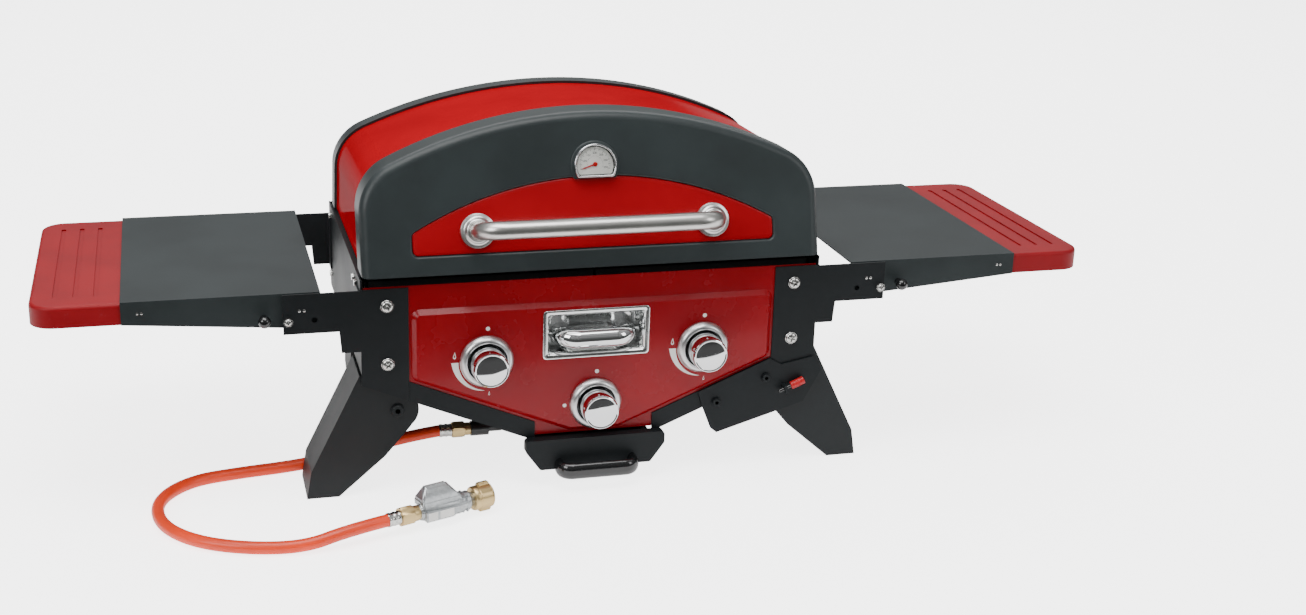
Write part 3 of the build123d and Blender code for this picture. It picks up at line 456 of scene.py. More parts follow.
def rounded(points, radii, steps=6):
    """An outline with its corners rounded; a radius of 0 keeps the corner."""
    outline = []
    for i, corner in enumerate(points):
        radius = radii[i] if isinstance(radii, (list, tuple)) else radii
        here = Vector(corner)
        if not radius:
            outline.append(tuple(here))
            continue
        back = (Vector(points[i - 1]) - here).normalized()
        on = (Vector(points[(i + 1) % len(points)]) - here).normalized()
        half = back.angle(on) / 2
        centre = here + (back + on).normalized() * radius / sin(half)
        start = here + back * radius / math.tan(half) - centre
        end = here + on * radius / math.tan(half) - centre
        for k in range(steps + 1):
            outline.append(tuple(centre + start.slerp(end, k / steps) * radius))
    return outline


def facing(origin, out):
    """A place in millimetres whose Z points out and whose X stays level."""
    out = Vector(out).normalized()
    side = Vector((1, 0, 0)) if abs(out.x) < 0.9 else Vector((0, 1, 0))
    up = out.cross(side).normalized()
    side = up.cross(out)
    turn = Matrix((side, up, out)).transposed().to_4x4()
    return Matrix.Translation(Vector(origin)) @ turn


# %% Put a mesh on its body
def make(name, shape, finish, body, instead_of=(), place=None, crease=32, tidy=True):
    """Finishes a bmesh drawn in millimetres as one piece of the grill."""
    if place is not None:
        shape.transform(place)
    shape.transform(Matrix.Scale(MM, 4))
    if tidy:
        bmesh.ops.recalc_face_normals(shape, faces=shape.faces)
    data = bpy.data.meshes.new(name)
    shape.to_mesh(data)
    shape.free()
    return settle(name, data, finish, body, instead_of, crease)


def settle(name, data, finish, body, instead_of=(), crease=32):
    """Gives a finished mesh its shading, its finish and its body."""
    data.shade_smooth()
    data.set_sharp_from_angle(angle=radians(crease))
    data.materials.clear()
    data.materials.append(finish.material)
    piece = bpy.data.objects.new(name, data)
    bpy.context.scene.collection.objects.link(piece)
    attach(piece, body)
    if instead_of:
        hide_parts(*instead_of)
    return piece


def together(*shapes):
    """Several bmeshes as one."""
    whole = shapes[0]
    for shape in shapes[1:]:
        scratch = bpy.data.meshes.new("scratch")
        shape.to_mesh(scratch)
        shape.free()
        whole.from_mesh(scratch)
        bpy.data.meshes.remove(scratch)
    return whole


def moved(shape, place):
    """The same bmesh, carried to its place."""
    shape.transform(place)
    return shape


# %% [markdown]
# ## Places on the grill
# The lid's face leans back by fifteen degrees and the panel stands upright. Both are used
# again and again, so each gets a function that turns a height into a place on it.

# %% The lid's face and the panel's face
LEAN = radians(15)
LID_OUT = (0, -cos(LEAN), sin(LEAN))
LID_FOOT_Y, LID_FOOT_Z = -148, 246
PANEL_Y = -144.5
POST_Y = -141
KNOBS = {"left": (-120, 147), "centre": (0, 90.5), "right": (120, 147)}


def on_lid(x, height, out=0):
    """The point of the lid's face at this height, or so far in front of it."""
    y = LID_FOOT_Y + (height - LID_FOOT_Z) * math.tan(LEAN)
    return Vector((x, y, height)) + Vector(LID_OUT) * out


def lid_place(x, height, out=0):
    return facing(on_lid(x, height, out), LID_OUT)


def panel_place(x, z, y=PANEL_Y):
    return facing((x, y, z), (0, -1, 0))


# %% [markdown]
# ## The lid's crescent
# The red insert is a pressed sheet with a rolled edge that stands almost level with the black
# casting and leaves a thin shadow all round. A stack of ever smaller loops makes that rolled
# edge, and the outline is built from a flat foot, two short sides and one long arc.

# %% Crescent insert
INSERT_HALF, INSERT_LOW, SHOULDER, INSERT_TOP = 197, 265, 288, 339
ARC_STEPS = 40


def crescent(inset, out):
    """The insert's outline, so much smaller all round and so far in front of the lid."""
    half, low, top = INSERT_HALF - inset, INSERT_LOW + inset, INSERT_TOP - inset
    rise = top - SHOULDER
    radius = (half**2 + rise**2) / (2 * rise)
    sweep = math.asin(half / radius)
    corners = [(-half, low), (half, low), (half, SHOULDER)]
    for i in range(1, ARC_STEPS):
        angle = sweep - 2 * sweep * i / ARC_STEPS
        corners.append((radius * sin(angle), top - radius + radius * cos(angle)))
    corners.append((-half, SHOULDER))
    radii = [6, 6, 5] + [0] * (ARC_STEPS - 1) + [5]
    edge = rounded(corners, [max(r - inset * 0.5, 1.5) if r else 0 for r in radii])
    return [on_lid(x, z - out * sin(LEAN), out) for x, z in edge]


ROLLED_EDGE = [(0.3, -4.4), (0.3, -3.4), (0.5, -2.6), (1.0, -2.1), (1.8, -1.9), (6, -1.85)]
insert = skin([crescent(inset, out) for inset, out in ROLLED_EDGE])
insert = make("lid_crescent", insert, finishes["lid_red"], "lid", ["lid_insert"], crease=50)
print("crescent", len(insert.data.vertices), "points")

# %% [markdown]
# ## Handle rosettes
# Each end of the lid's handle sits in a spun steel cup: a flat rim, a dish and a raised collar
# that hides the joint. It is turned from one profile, and its brushing runs in rings round
# its own middle, so each of the two has its own finish with its own centre.

# %% Rosettes
HANDLE_HALF, HANDLE_HEIGHT = 128, 289
CUP = [
    (9.6, -2.4), (18.5, -2.4), (18.5, 0.7), (18.1, 1.4), (17.2, 1.8), (15.6, 2.0), (14.4, 2.6),
    (13.2, 4.2), (12.2, 5.6), (11.4, 6.2), (10.5, 6.3), (9.8, 5.9), (9.6, 5),
]
for side, x in (("left", -HANDLE_HALF), ("right", HANDLE_HALF)):
    centre = [v * MM for v in on_lid(x, HANDLE_HEIGHT)]
    steel = spun("brushed_bezel", (0.74, 0.74, 0.72), centre, f"spun_{side}_rosette")
    instead = ["handle_rosettes"] if side == "left" else []
    cup = turned(CUP, wrap=True)
    make(f"{side}_rosette", cup, steel, "lid", instead, lid_place(x, HANDLE_HEIGHT))
print("rosettes, each with", len(CUP), "rings")

# %% [markdown]
# ## Thermometer
# A D-shaped case with a rolled chrome rim, a printed dial, a red pointer and a clear window.
# The rim is again a stack of loops, this time of the D. The marks on the dial repeat by a
# rule, so Geometry Nodes place them: a curve along the scale, points on it, one small bar
# on each.

# %% Case
GAUGE_HEIGHT = 355
GAUGE_RADIUS, GAUGE_FOOT = 23.25, 12.75


def d_outline(inset, steps=56):
    """A circle with a flat foot and rounded corners, about the gauge's middle."""
    radius, foot = GAUGE_RADIUS - inset, GAUGE_FOOT - max(inset, inset * 0.2)
    start = -math.asin(foot / radius)
    points = []
    for i in range(steps + 1):
        angle = start + (pi - 2 * start) * i / steps
        points.append((radius * cos(angle), radius * sin(angle) - 5.25))
    radii = [2.6] + [0] * (steps - 1) + [2.6]
    return rounded(points, radii, 8)


def gauge_loops(profile):
    return [[(x, y, out) for x, y in d_outline(inset)] for inset, out in profile]


gauge_place = lid_place(0, GAUGE_HEIGHT)
RIM = [
    (0, 0.1), (0, 3.6), (0.15, 4.7), (0.6, 5.5), (1.2, 5.9), (1.8, 5.8), (2.3, 5.3), (2.5, 4.5),
    (2.5, 1.8),
]
COLLAR = [(-3.2, -2), (-3.2, 0.2), (-2.6, 0.9), (-1.4, 1.2), (0.5, 1.2)]
GASKET = [(2.5, 1.8), (2.5, 3.4), (3.3, 3.4), (3.5, 1.8)]
rim, collar = skin(gauge_loops(RIM)), skin(gauge_loops(COLLAR))
gasket = skin(gauge_loops(GASKET), wrap=True)
make("gauge_case", rim, finishes["chrome"], "lid", ["thermometer_case"], gauge_place, 50)
make("gauge_collar", collar, finishes["anthracite"], "lid", (), gauge_place, 50)
make("gauge_gasket", gasket, finishes["black_gloss"], "lid", (), gauge_place, 50)
print("gauge rim", len(RIM), "loops")

# %% Scale marks with Geometry Nodes
def new_tree(name, inputs):
    """An empty Geometry Nodes tree with named inputs, and a lookup of their identifiers."""
    group = bpy.data.node_groups.new(name, "GeometryNodeTree")
    names = {}
    for label, kind in inputs:
        socket = group.interface.new_socket(label, in_out="INPUT", socket_type=kind)
        names[label] = socket.identifier
    group.interface.new_socket("Result", in_out="OUTPUT", socket_type="NodeSocketGeometry")
    return Tree(group), group.nodes.new("NodeGroupInput"), names


def grown(name, tree, names, values, start=None):
    """Runs a tree on a mesh and returns the plain mesh it makes."""
    data = start or bpy.data.meshes.new(name)
    holder = bpy.data.objects.new(name, data)
    bpy.context.scene.collection.objects.link(holder)
    modifier = holder.modifiers.new(name, "NODES")
    modifier.node_group = tree.tree
    for label, value in values.items():
        modifier[names[label]] = value
    scene_now = bpy.context.evaluated_depsgraph_get()
    made = bpy.data.meshes.new_from_object(holder.evaluated_get(scene_now))
    holder.modifiers.remove(modifier)
    bpy.data.objects.remove(holder)
    return made


def end_tree(tree, geometry, material):
    """Every tree ends the same way: real geometry, one material."""
    solid = tree.node("GeometryNodeRealizeInstances", None, {0: geometry})
    done = tree.node("GeometryNodeSetMaterial", None, {"Geometry": solid, "Material": material})
    out = tree.tree.nodes.new("NodeGroupOutput")
    tree.feed(out.inputs[0], done)


scale, given, scale_names = new_tree(
    "scale_marks",
    [("Radius", "NodeSocketFloat"), ("Start", "NodeSocketFloat"), ("Sweep", "NodeSocketFloat"),
     ("Count", "NodeSocketInt"), ("Bar", "NodeSocketVector"), ("Finish", "NodeSocketMaterial")],
)
inputs = {label: Socket(scale, given.outputs[label]) for label in scale_names}
arc = {"Resolution": 96, "Radius": inputs["Radius"]}
arc |= {"Start Angle": inputs["Start"], "Sweep Angle": inputs["Sweep"]}
curve = scale.node("GeometryNodeCurveArc", {"mode": "RADIUS"}, arc)
spots = {"Curve": curve, "Count": inputs["Count"]}
spots = scale.node("GeometryNodeCurveToPoints", {"mode": "COUNT"}, spots)
turns = Socket(scale, spots.socket.node.outputs["Rotation"])
bar = scale.node("GeometryNodeMeshCube", None, {"Size": inputs["Bar"]})
bars = {"Points": spots, "Instance": bar, "Rotation": turns}
bars = scale.node("GeometryNodeInstanceOnPoints", None, bars)
end_tree(scale, bars, inputs["Finish"])

PIVOT = (0, -4)
COLD, HOT = radians(198), radians(-18)
DIAL_TOP = 2.2
black_print = moulded("black_print", seen(20, 20, 22), 0.5, 0.4, 0.003)
black_print.slot = "dial_white"
SCALES = [
    (49, 16.2, (1.1, 0.12, 0.16)),
    (13, 15.6, (2.4, 0.12, 0.36)),
    (25, 8.6, (1.0, 0.12, 0.18)),
]
dial = bmesh.new()
for count, radius, bar_size in SCALES:
    values = {"Radius": radius, "Start": HOT, "Sweep": COLD - HOT, "Count": count}
    values |= {"Bar": bar_size, "Finish": black_print.material}
    mark = grown("marks", scale, scale_names, values)
    dial.from_mesh(mark)
    bpy.data.meshes.remove(mark)
dial.transform(Matrix.Translation((*PIVOT, DIAL_TOP + 0.02)))
make("gauge_marks", dial, black_print, "lid", (), gauge_place)
print("scale marks", [count for count, radius, bar_size in SCALES])

# %% [markdown]
# The numbers are text turned into mesh, because a flat curve has no thickness of its own. Each
# is a plain count of degrees, and sits between the long marks and the inner scale.

# %% Numbers on the dial
def number(text, x, y, size):
    label = bpy.data.curves.new("number", "FONT")
    label.body = text
    label.size = size
    label.extrude = 0.05
    label.align_x, label.align_y = "CENTER", "CENTER"
    holder = bpy.data.objects.new("number", label)
    bpy.context.scene.collection.objects.link(holder)
    scene_now = bpy.context.evaluated_depsgraph_get()
    made = bpy.data.meshes.new_from_object(holder.evaluated_get(scene_now))
    bpy.data.objects.remove(holder)
    made.transform(Matrix.Translation((x, y, DIAL_TOP + 0.05)))
    return made


NUMBERS_RADIUS, NUMBERS_TALL = 11.9, 3.0
figures = bmesh.new()
for i, degrees in enumerate(range(50, 400, 50)):
    angle = COLD + (HOT - COLD) * i / 6
    x, y = PIVOT[0] + NUMBERS_RADIUS * cos(angle), PIVOT[1] + NUMBERS_RADIUS * sin(angle)
    made = number(str(degrees), x, y, NUMBERS_TALL)
    figures.from_mesh(made)
    bpy.data.meshes.remove(made)
make("gauge_numbers", figures, black_print, "lid", (), gauge_place, tidy=False)
cap = turned([(2.4, 2.9), (2.4, 3.5), (2.0, 3.9), (0.9, 4.05)], 32)
cap_place = gauge_place @ Matrix.Translation((*PIVOT, 0))
make("needle_cap", cap, finishes["needle_red"], "needle", (), cap_place)
print("numbers 7")

# %% [markdown]
# ## Knob bezels
# Round each knob lies a turned steel ring: a short wall, a wide bright slope and a flat floor
# that stays dark. One profile turned three times, each with rings about its own centre.

# %% Bezels
RING = [
    (6.4, 0.1), (29, 0.1), (29, 2.2), (28.7, 3.0), (27.0, 5.8), (25.6, 7.2), (24.2, 7.9),
    (23.0, 8.0), (22.1, 7.6), (21.4, 6.6), (21.0, 4.6), (20.4, 2.9), (19.0, 2.5), (6.4, 2.5),
]
for where, (x, z) in KNOBS.items():
    steel = spun("brushed_bezel", (0.72, 0.72, 0.72), (x * MM, 0, z * MM), f"spun_{where}_bezel")
    instead = ["knob_bezels"] if where == "left" else []
    ring = turned(RING, 96, wrap=True)
    make(f"{where}_bezel", ring, steel, "body", instead, panel_place(x, z))
print("bezels", len(KNOBS))

# %% [markdown]
# ## Knobs
# The knobs are polished cups: a slightly tapered wall, a narrow bright bead and a face that is
# very slightly domed, which is what bends the room into a fisheye picture. The hub and the
# stem are part of the same mesh, so they come forward with it.

# %% Knobs
KNOB = [
    (17.3, 7.2), (19.5, 6.6), (19.3, 27.6), (19.1, 29.4), (18.6, 30.6), (17.7, 31.1), (17.0, 30.9),
    (16.4, 30.6), (14.5, 30.95), (12, 31.32), (9, 31.65), (6, 31.88), (3, 31.97), (1.2, 32.0),
]
LINING = [(17.3, 7.2), (17.3, 28.6), (5, 28.6)]
STEM = [(1.2, -16.3), (3, -15.5), (3, 6.6), (6, 6.6), (5.9, 28.2), (1.2, 28.2)]
for where, (x, z) in KNOBS.items():
    cup = together(turned(LINING, 96), turned(KNOB, 96), turned(STEM, 48))
    body = f"{where}_knob"
    make(f"{where}_dial_knob", cup, finishes["chrome"], body, [body], panel_place(x, z))
print("knobs", len(KNOBS))

# %% [markdown]
# ## Printed marks on the panel
# White print shows the way the knobs turn: a dot for off, a flame where the gas lights and a
# crescent that grows thin as the flame gets smaller. Each mark is a very thin solid that lies
# on the enamel, so it keeps a clean edge however close the camera comes.

# %% Marks
PRINT = 0.12


def sheet_mark(outline, x, z):
    """A flat mark on the panel from an outline in millimetres about a centre."""
    loops = [[(px, pz, out) for px, pz in outline] for out in (0.02, PRINT)]
    return moved(skin(loops), panel_place(x, z))


def ring_mark(outer, inner, x, z):
    """A mark drawn as a line, between an outer and an inner outline."""
    stack = [(outer, 0.02), (outer, PRINT), (inner, PRINT), (inner, 0.02)]
    loops = [[(px, pz, out) for px, pz in outline] for outline, out in stack]
    return moved(skin(loops, wrap=True), panel_place(x, z))


def circle(radius, x=0, y=0, steps=24):
    angles = [2 * pi * i / steps for i in range(steps)]
    return [(x + radius * cos(a), y + radius * sin(a)) for a in angles]


def flame(size, steps=28):
    """A drop with a drawn-up tip that leans a little."""
    outline = []
    for i in range(steps):
        t = 2 * pi * i / steps
        pull = 0.5 * (1 + sin(t))
        width = cos(t) * (1 - pull**1.6 * 0.92)
        height = sin(t) * 0.75 + 0.45 * pull**3
        outline.append((size * (0.5 * width + 0.08 * pull**2), size * height))
    return outline


def fading_crescent(steps=30):
    """A quarter ring that narrows towards its end."""
    outer, inner = [], []
    for i in range(steps + 1):
        t = i / steps
        angle = radians(180 + 86 * t)
        for points, reach in ((outer, 38 - 4.3 * t**0.7), (inner, 30.2 + 3.2 * t**1.5)):
            points.append((reach * cos(angle), reach * sin(angle)))
    return outer + inner[::-1]


white_print = moulded("white_print", seen(240, 238, 234), 0.45, 0.5, 0.004)
white_print.slot = "dial_white"
marks = [sheet_mark(circle(2.3, 1.4, 36.2), x, z) for x, z in KNOBS.values()]
marks.append(sheet_mark(circle(2.1, -34, -1), *KNOBS["centre"]))
for where in ("left", "right"):
    x, z = KNOBS[where]
    marks.append(sheet_mark(fading_crescent(), x, z))
    marks.append(ring_mark(flame(4.1), flame(2.5), x - 34.4, z + 7.4))
    marks.append(ring_mark(flame(2.4), flame(1.5), x + 2.8, z - 37.4))
print("marks", len(marks))
make("panel_marks", together(*marks), white_print, "body")

# %% [markdown]
# ## Carrying recess
# The pan behind the carrying bar is pressed from one bright sheet: a flat flange with a rolled
# edge, a sloping shoulder, deep walls and a floor with a wide radius. Its corners grow
# rounder as it gets deeper, which the stack of loops shows in its last column.

# %% Recess pan
RECESS_MIDDLE = 171.35
PAN = [
    (58.8, 27.5, 4.0, 0.05), (58.8, 27.5, 4.0, 0.7), (58.3, 27.1, 3.8, 1.15),
    (57.6, 26.4, 3.4, 1.2),
    (54.6, 23.4, 2.6, 1.15), (53.9, 22.8, 2.6, 0.7), (51.8, 20.8, 3.0, -2.6), (51.2, 20.3, 3.4, -4),
    (50.4, 19.7, 4.5, -14), (49.4, 18.8, 5.5, -19.5), (47.6, 17.0, 6.5, -21.8),
    (43.5, 13.0, 6.5, -22.6),
]
pan = []
for half, tall, corner, out in PAN:
    box = [(-half, -tall), (half, -tall), (half, tall), (-half, tall)]
    pan.append([(x, z, out) for x, z in rounded(box, corner)])
pan_finish = plated("chrome", (0.74, 0.75, 0.74), 0.15, "satin_recess")
pan_place = panel_place(0, RECESS_MIDDLE)
pan_skin = skin(pan, caps=(False, True))
make("recess_pan", pan_skin, pan_finish, "body", ["handle_recess"], pan_place, 40, False)
print("pan", len(pan), "loops")

# %% [markdown]
# ## Screws, rivets and nuts
# The same few fasteners hold everything together, so each kind is modelled once and Geometry
# Nodes put copies of it where they belong. A place is a bare point that carries the way the
# head faces, and the tree turns every head by its own random angle, because no fitter leaves
# all the slots in line.

# %% The fastener tree
fasteners, given, fastener_names = new_tree(
    "fasteners",
    [("Places", "NodeSocketGeometry"), ("Head", "NodeSocketObject"), ("Seed", "NodeSocketInt"),
     ("Finish", "NodeSocketMaterial")],
)
inputs = {label: Socket(fasteners, given.outputs[label]) for label in fastener_names}
head = fasteners.node("GeometryNodeObjectInfo", None, {"Object": inputs["Head"]})
head = Socket(fasteners, head.socket.node.outputs["Geometry"])
vectors = {"data_type": "FLOAT_VECTOR"}
way = fasteners.node("GeometryNodeInputNamedAttribute", vectors, {"Name": "facing"})
aim = fasteners.node("FunctionNodeAlignRotationToVector", {"axis": "Z"}, {"Vector": way})
spin = {2: 0.0, 3: 2 * pi, "Seed": inputs["Seed"]}
spin = fasteners.node("FunctionNodeRandomValue", {"data_type": "FLOAT"}, spin, output=1)
spin = {"Axis": (0, 0, 1), "Angle": spin}
spin = fasteners.node("FunctionNodeAxisAngleToRotation", None, spin)
aim = {"Rotation": aim, "Rotate By": spin}
aim = fasteners.node("FunctionNodeRotateRotation", {"rotation_space": "LOCAL"}, aim)
heads = {"Points": inputs["Places"], "Instance": head, "Rotation": aim}
heads = fasteners.node("GeometryNodeInstanceOnPoints", None, heads)
end_tree(fasteners, heads, inputs["Finish"])


def fasten(name, shape, spots, finish, body, instead_of=(), seed=3):
    """Copies a head, drawn in millimetres along Z, to (place, facing) spots."""
    shape.transform(Matrix.Scale(MM, 4))
    bmesh.ops.recalc_face_normals(shape, faces=shape.faces)
    data = bpy.data.meshes.new(name)
    shape.to_mesh(data)
    shape.free()
    model = bpy.data.objects.new(name + "_head", data)
    bpy.context.scene.collection.objects.link(model)
    places = bpy.data.meshes.new(name)
    places.from_pydata([[v * MM for v in place] for place, out in spots], [], [])
    ways = places.attributes.new("facing", "FLOAT_VECTOR", "POINT")
    for entry, (place, out) in zip(ways.data, spots):
        entry.vector = out
    values = {"Head": model, "Seed": seed, "Finish": finish.material}
    made = grown(name, fasteners, fastener_names, values, places)
    bpy.data.objects.remove(model)
    settle(name, made, finish, body, instead_of)
    print(name, len(spots))


def mirrored(spots):
    """The same places on the other side of the grill."""
    return spots + [((-p[0], p[1], p[2]), (-o[0], o[1], o[2])) for p, o in spots]


# %% [markdown]
# The large screws on the posts are cross heads with a washer under them. The cross is real
# geometry: the dome is a fine grid of rings, and points that fall inside the cross are let
# down to its floor.

# %% Cross-head screws
def cross_head(radius, tall, deep, washer):
    """A domed head with a cross let into it, and its washer."""
    rings, steps = 15, 64
    mesh = bmesh.new()
    rows = []
    for i in range(rings + 1):
        reach = radius * (1 - i / (rings + 0.4))
        row = []
        for k in range(steps):
            angle = 2 * pi * k / steps
            x, y = reach * cos(angle), reach * sin(angle)
            dome = tall * (1 - (reach / radius) ** 3.2) ** 0.6 if i else 0
            narrow, wide = sorted((abs(x), abs(y)))
            if narrow < radius * 0.13 and wide < radius * 0.58:
                dome -= deep * (1 - (wide / radius) * 0.5)
            row.append(mesh.verts.new((x, y, dome)))
        rows.append(row)
    for low, high in zip(rows, rows[1:]):
        for k in range(steps):
            mesh.faces.new((low[k], low[(k + 1) % steps], high[(k + 1) % steps], high[k]))
    mesh.faces.new(rows[-1])
    hole = radius * 0.9
    disc = [(hole, -1.0), (washer, -1.0), (washer, -0.2), (washer - 0.3, 0.1), (hole, 0.1)]
    return together(mesh, turned(disc, 48, True))


FRONT = (0, -1, 0)
ZINC, BLACK = finishes["zinc_screw"], finishes["black_powder"]
post_spots = mirrored([((224.3, POST_Y - 1, z), FRONT) for z in (213.3, 149.0)])
post_head = cross_head(6.4, 3.0, 2.2, 7.0)
fasten("post_screw_heads", post_head, post_spots, ZINC, "body", ["post_screws"])

# %% [markdown]
# Smaller fixings: flat rivets and screws on the shelf brackets, black socket screws on the legs
# and the lock plate, and small cross-head screws where a shelf pivots. A hexagon nut is shaped here
# too, for the side panels. Each kind has its own profile.

# %% Rivets, socket screws and nuts
def rivet_head(radius, tall):
    dome = [(radius * 0.86, tall * 0.7), (radius * 0.5, tall), (0.2, tall)]
    return turned([(radius, -0.2), (radius, 0.15)] + dome, 20)


def socket_head(radius, tall, socket):
    """A flat head with a hexagon socket."""
    mouth = (socket * 1.18, tall)
    rim = turned([(radius, -0.3), (radius, tall * 0.6), (radius * 0.9, tall), mouth], 36)
    well = [mouth, (socket, tall), (socket, tall * 0.25), (0.2, tall * 0.2)]
    return together(rim, turned(well, 36, sides=(6, socket)))


def hex_head(flat, tall):
    """A nut whose corners are cut back at both ends."""
    edge, corner = flat * 1.02, flat * 1.2
    shape = [(edge, 0), (corner, tall * 0.16), (corner, tall * 0.84), (edge, tall), (0.3, tall)]
    return turned(shape, 48, sides=(6, flat))


SHELF_FRONT_Y = -135.2
bracket_spots = mirrored([((309.4, POST_Y, 214), FRONT), ((314.2, POST_Y, 214), FRONT)])
fasten("bracket_rivets", rivet_head(1.7, 0.8), bracket_spots, ZINC, "body")
for where, side in (("right", 1), ("left", -1)):
    spots = [((side * x, SHELF_FRONT_Y, 219), FRONT) for x in (470.5, 474.8)]
    fasten(f"{where}_shelf_rivets", rivet_head(1.5, 0.8), spots, ZINC, f"{where}_shelf")
leg_spots = mirrored([((214.4, -138.3, 94.7), FRONT)])
fasten("leg_bolt_heads", socket_head(6.6, 1.6, 2.6), leg_spots, BLACK, "body")
plate_spots = [((196, -146, 105), FRONT), ((139, -146, 80), FRONT)]
fasten("plate_bolt_heads", socket_head(4.6, 1.2, 1.9), plate_spots, BLACK, "body")
pivot_spots = mirrored([((326, -145, 203), FRONT)])
fasten("pivot_heads", cross_head(3.6, 1.8, 1.2, 4.2), pivot_spots, ZINC, "body", (), 5)

# %% [markdown]
# At the back, screws hold the hinge leaves, and four nuts show on each side panel: two near its
# front and two near its back.

# %% Screws at the back and sides
BACK = (0, 1, 0)
leaf_spots = mirrored([((x, 176, z), BACK) for x in (134, 166) for z in (218, 232)])
fasten("leaf_screws", cross_head(3.0, 1.3, 0.9, 3.4), leaf_spots, ZINC, "body", (), 8)
NUTS = [(-112, 232), (-92, 232), (150, 232), (150, 160)]
side_spots = mirrored([((252, y, z), (1, 0, 0)) for y, z in NUTS])
fasten("side_nuts", hex_head(3.4, 3.2), side_spots, ZINC, "body", (), 9)

# %% [markdown]
# ## Red latch
# A ribbed red barrel with a small black pin at its end lets the leg fold. The ribs are what
# stays between four grooves in the turned profile.

# %% Latch
LATCH_TILT = radians(23)
latch_way = Vector((cos(LATCH_TILT), 0, sin(LATCH_TILT)))
latch_middle = Vector((232, -148.5, 98))
barrel = [(0.4, -8), (4.0, -8), (4.5, -7.4)]
for at in (-5, -2, 1, 4):
    barrel += [(4.5, at - 0.6), (4.15, at - 0.3), (4.15, at + 0.3), (4.5, at + 0.6)]
barrel += [(4.5, 7.2), (4.1, 7.8), (3.2, 8), (0.4, 8)]
pin = turned([(0.3, -23), (1.6, -23), (2.0, -22.5), (2.0, -8), (0.3, -8)], 24)
latch_place = facing(latch_middle, latch_way)
make("latch_barrel", turned(barrel, 40), finishes["latch_red"], "latch", ["leg_latch"], latch_place)
make("latch_pin", pin, finishes["black_gloss"], "latch", (), latch_place)
print("latch barrel", len(barrel), "rings")

# %% [markdown]
# ## Hose ends
# A crimped zinc sleeve grips each end of the hose, and a brass nut follows it. The crimps are
# shallow grooves pressed by eight jaws, so the sleeve is turned with eight flats where they
# bit. The nuts are hexagons whose corners are cut back by a cone at both ends.

# %% Sleeves and nuts
TURN = radians(20)
hose_way = Vector((cos(TURN), sin(TURN), 0))
ends = {
    "inlet": (Vector((-158, -60, 35)), Vector((1, 0, 0)), 8.5, 21.5),
    "regulator": (Vector((-240, -238, 16.5)), hose_way, 9.5, 22),
}
SLEEVE_LENGTH = 14
SLEEVE = [
    (6.2, 0), (7.2, 0), (7.4, 0.5), (7.4, 3), (7.0, 3.6), (7.0, 6.4), (7.4, 7), (7.4, 8.6),
    (7.0, 9.2), (7.0, 11.6), (7.4, 12.2), (7.3, 13.6), (6.6, SLEEVE_LENGTH), (6.2, SLEEVE_LENGTH),
]


def hose_nut(flat, length):
    """A hexagon with a round neck, to the size across its flats."""
    corner, neck = flat / cos(pi / 6), flat * 0.86
    grip = [(flat * 0.95, 0), (flat, 0.2), (corner, 1.8), (corner, length * 0.58)]
    grip += [(flat * 1.01, length * 0.66), (neck, length * 0.68), (neck, length - 1.5)]
    grip += [(flat * 0.8, length), (6.1, length), (6.1, 0)]
    return turned(grip, 60, True, sides=(6, flat))


sleeves, nuts = [], []
for start, way, flat, length in ends.values():
    place = facing(start, way)
    sleeves.append(moved(turned(SLEEVE, 48, True, sides=(8, 7.05)), place))
    beyond_sleeve = place @ Matrix.Translation((0, 0, SLEEVE_LENGTH))
    nuts.append(moved(hose_nut(flat, length), beyond_sleeve))
make("crimped_sleeves", together(*sleeves), ZINC, "body", ["hose_ferrules"])
make("brass_nuts", together(*nuts), finishes["brass"], "body", ["hose_nuts"])
print("hose ends", len(sleeves))

# %% [markdown]
# ## Regulator
# The regulator is a zinc die casting: a faceted barrel in line with the hose, a block in front
# of it and a bonnet on top. All are convex, so a hull over a few points gives the facets, and
# a bevel breaks their edges as casting does. Two blank white plates are let into the side.

# %% Cast body
def hull(points, bevel, segments=3):
    """A convex body over these points with softened edges."""
    mesh = bmesh.new()
    for point in points:
        mesh.verts.new(point)
    found = bmesh.ops.convex_hull(mesh, input=mesh.verts)["geom_interior"]
    inside = [v for v in found if isinstance(v, bmesh.types.BMVert)]
    bmesh.ops.delete(mesh, geom=inside, context="VERTS")
    bmesh.ops.dissolve_limit(mesh, angle_limit=radians(3), verts=mesh.verts, edges=mesh.edges)
    soft = {"offset": bevel, "segments": segments, "affect": "EDGES", "clamp_overlap": True}
    bmesh.ops.bevel(mesh, geom=mesh.edges[:], **soft)
    return mesh


def facets(radius, at, count=12):
    """Corners of a regular ring round the X axis."""
    angles = [2 * pi * (i + 0.5) / count for i in range(count)]
    return [(at, radius * cos(a), radius * sin(a)) for a in angles]


def box_hull(along, across, up, bevel, segments=3):
    return hull([(x, y, z) for x in along for y in across for z in up], bevel, segments)


ALONG_X = Matrix.Rotation(pi / 2, 4, "Y")
reg_place = Matrix.Translation((-240, -238, 16.5)) @ Matrix.Rotation(TURN, 4, "Z")
rings = facets(8.6, 36) + facets(11.8, 46) + facets(11.8, 84) + facets(9.6, 92)
barrel = hull(rings, 1.0)
ridge = [(x, y, z) for x in (47, 72) for y, z in ((4, 22.5), (10.5, 24.5))]
shoulder = [(x, y, 12) for x in (38, 82) for y in (-7, 14)]
shoulder += [(x, y, 4) for x in (38, 88) for y in (-10, 13)]
bonnet = hull(ridge + shoulder, 1.5)
block_face = [(39, -8), (39, 3.4), (77, 3.4), (77, -3), (71, -8)]
block_back = [(x, -3, z) for x in (39, 77) for z in (-8, 4)]
block = hull([(x, -13.2, z) for x, z in block_face] + block_back, 0.8)
grips = [box_hull((x, x + 3), (-9.8, 9.8), (-8.6, 8.6), 0.8, 2) for x in (78, 83, 88)]
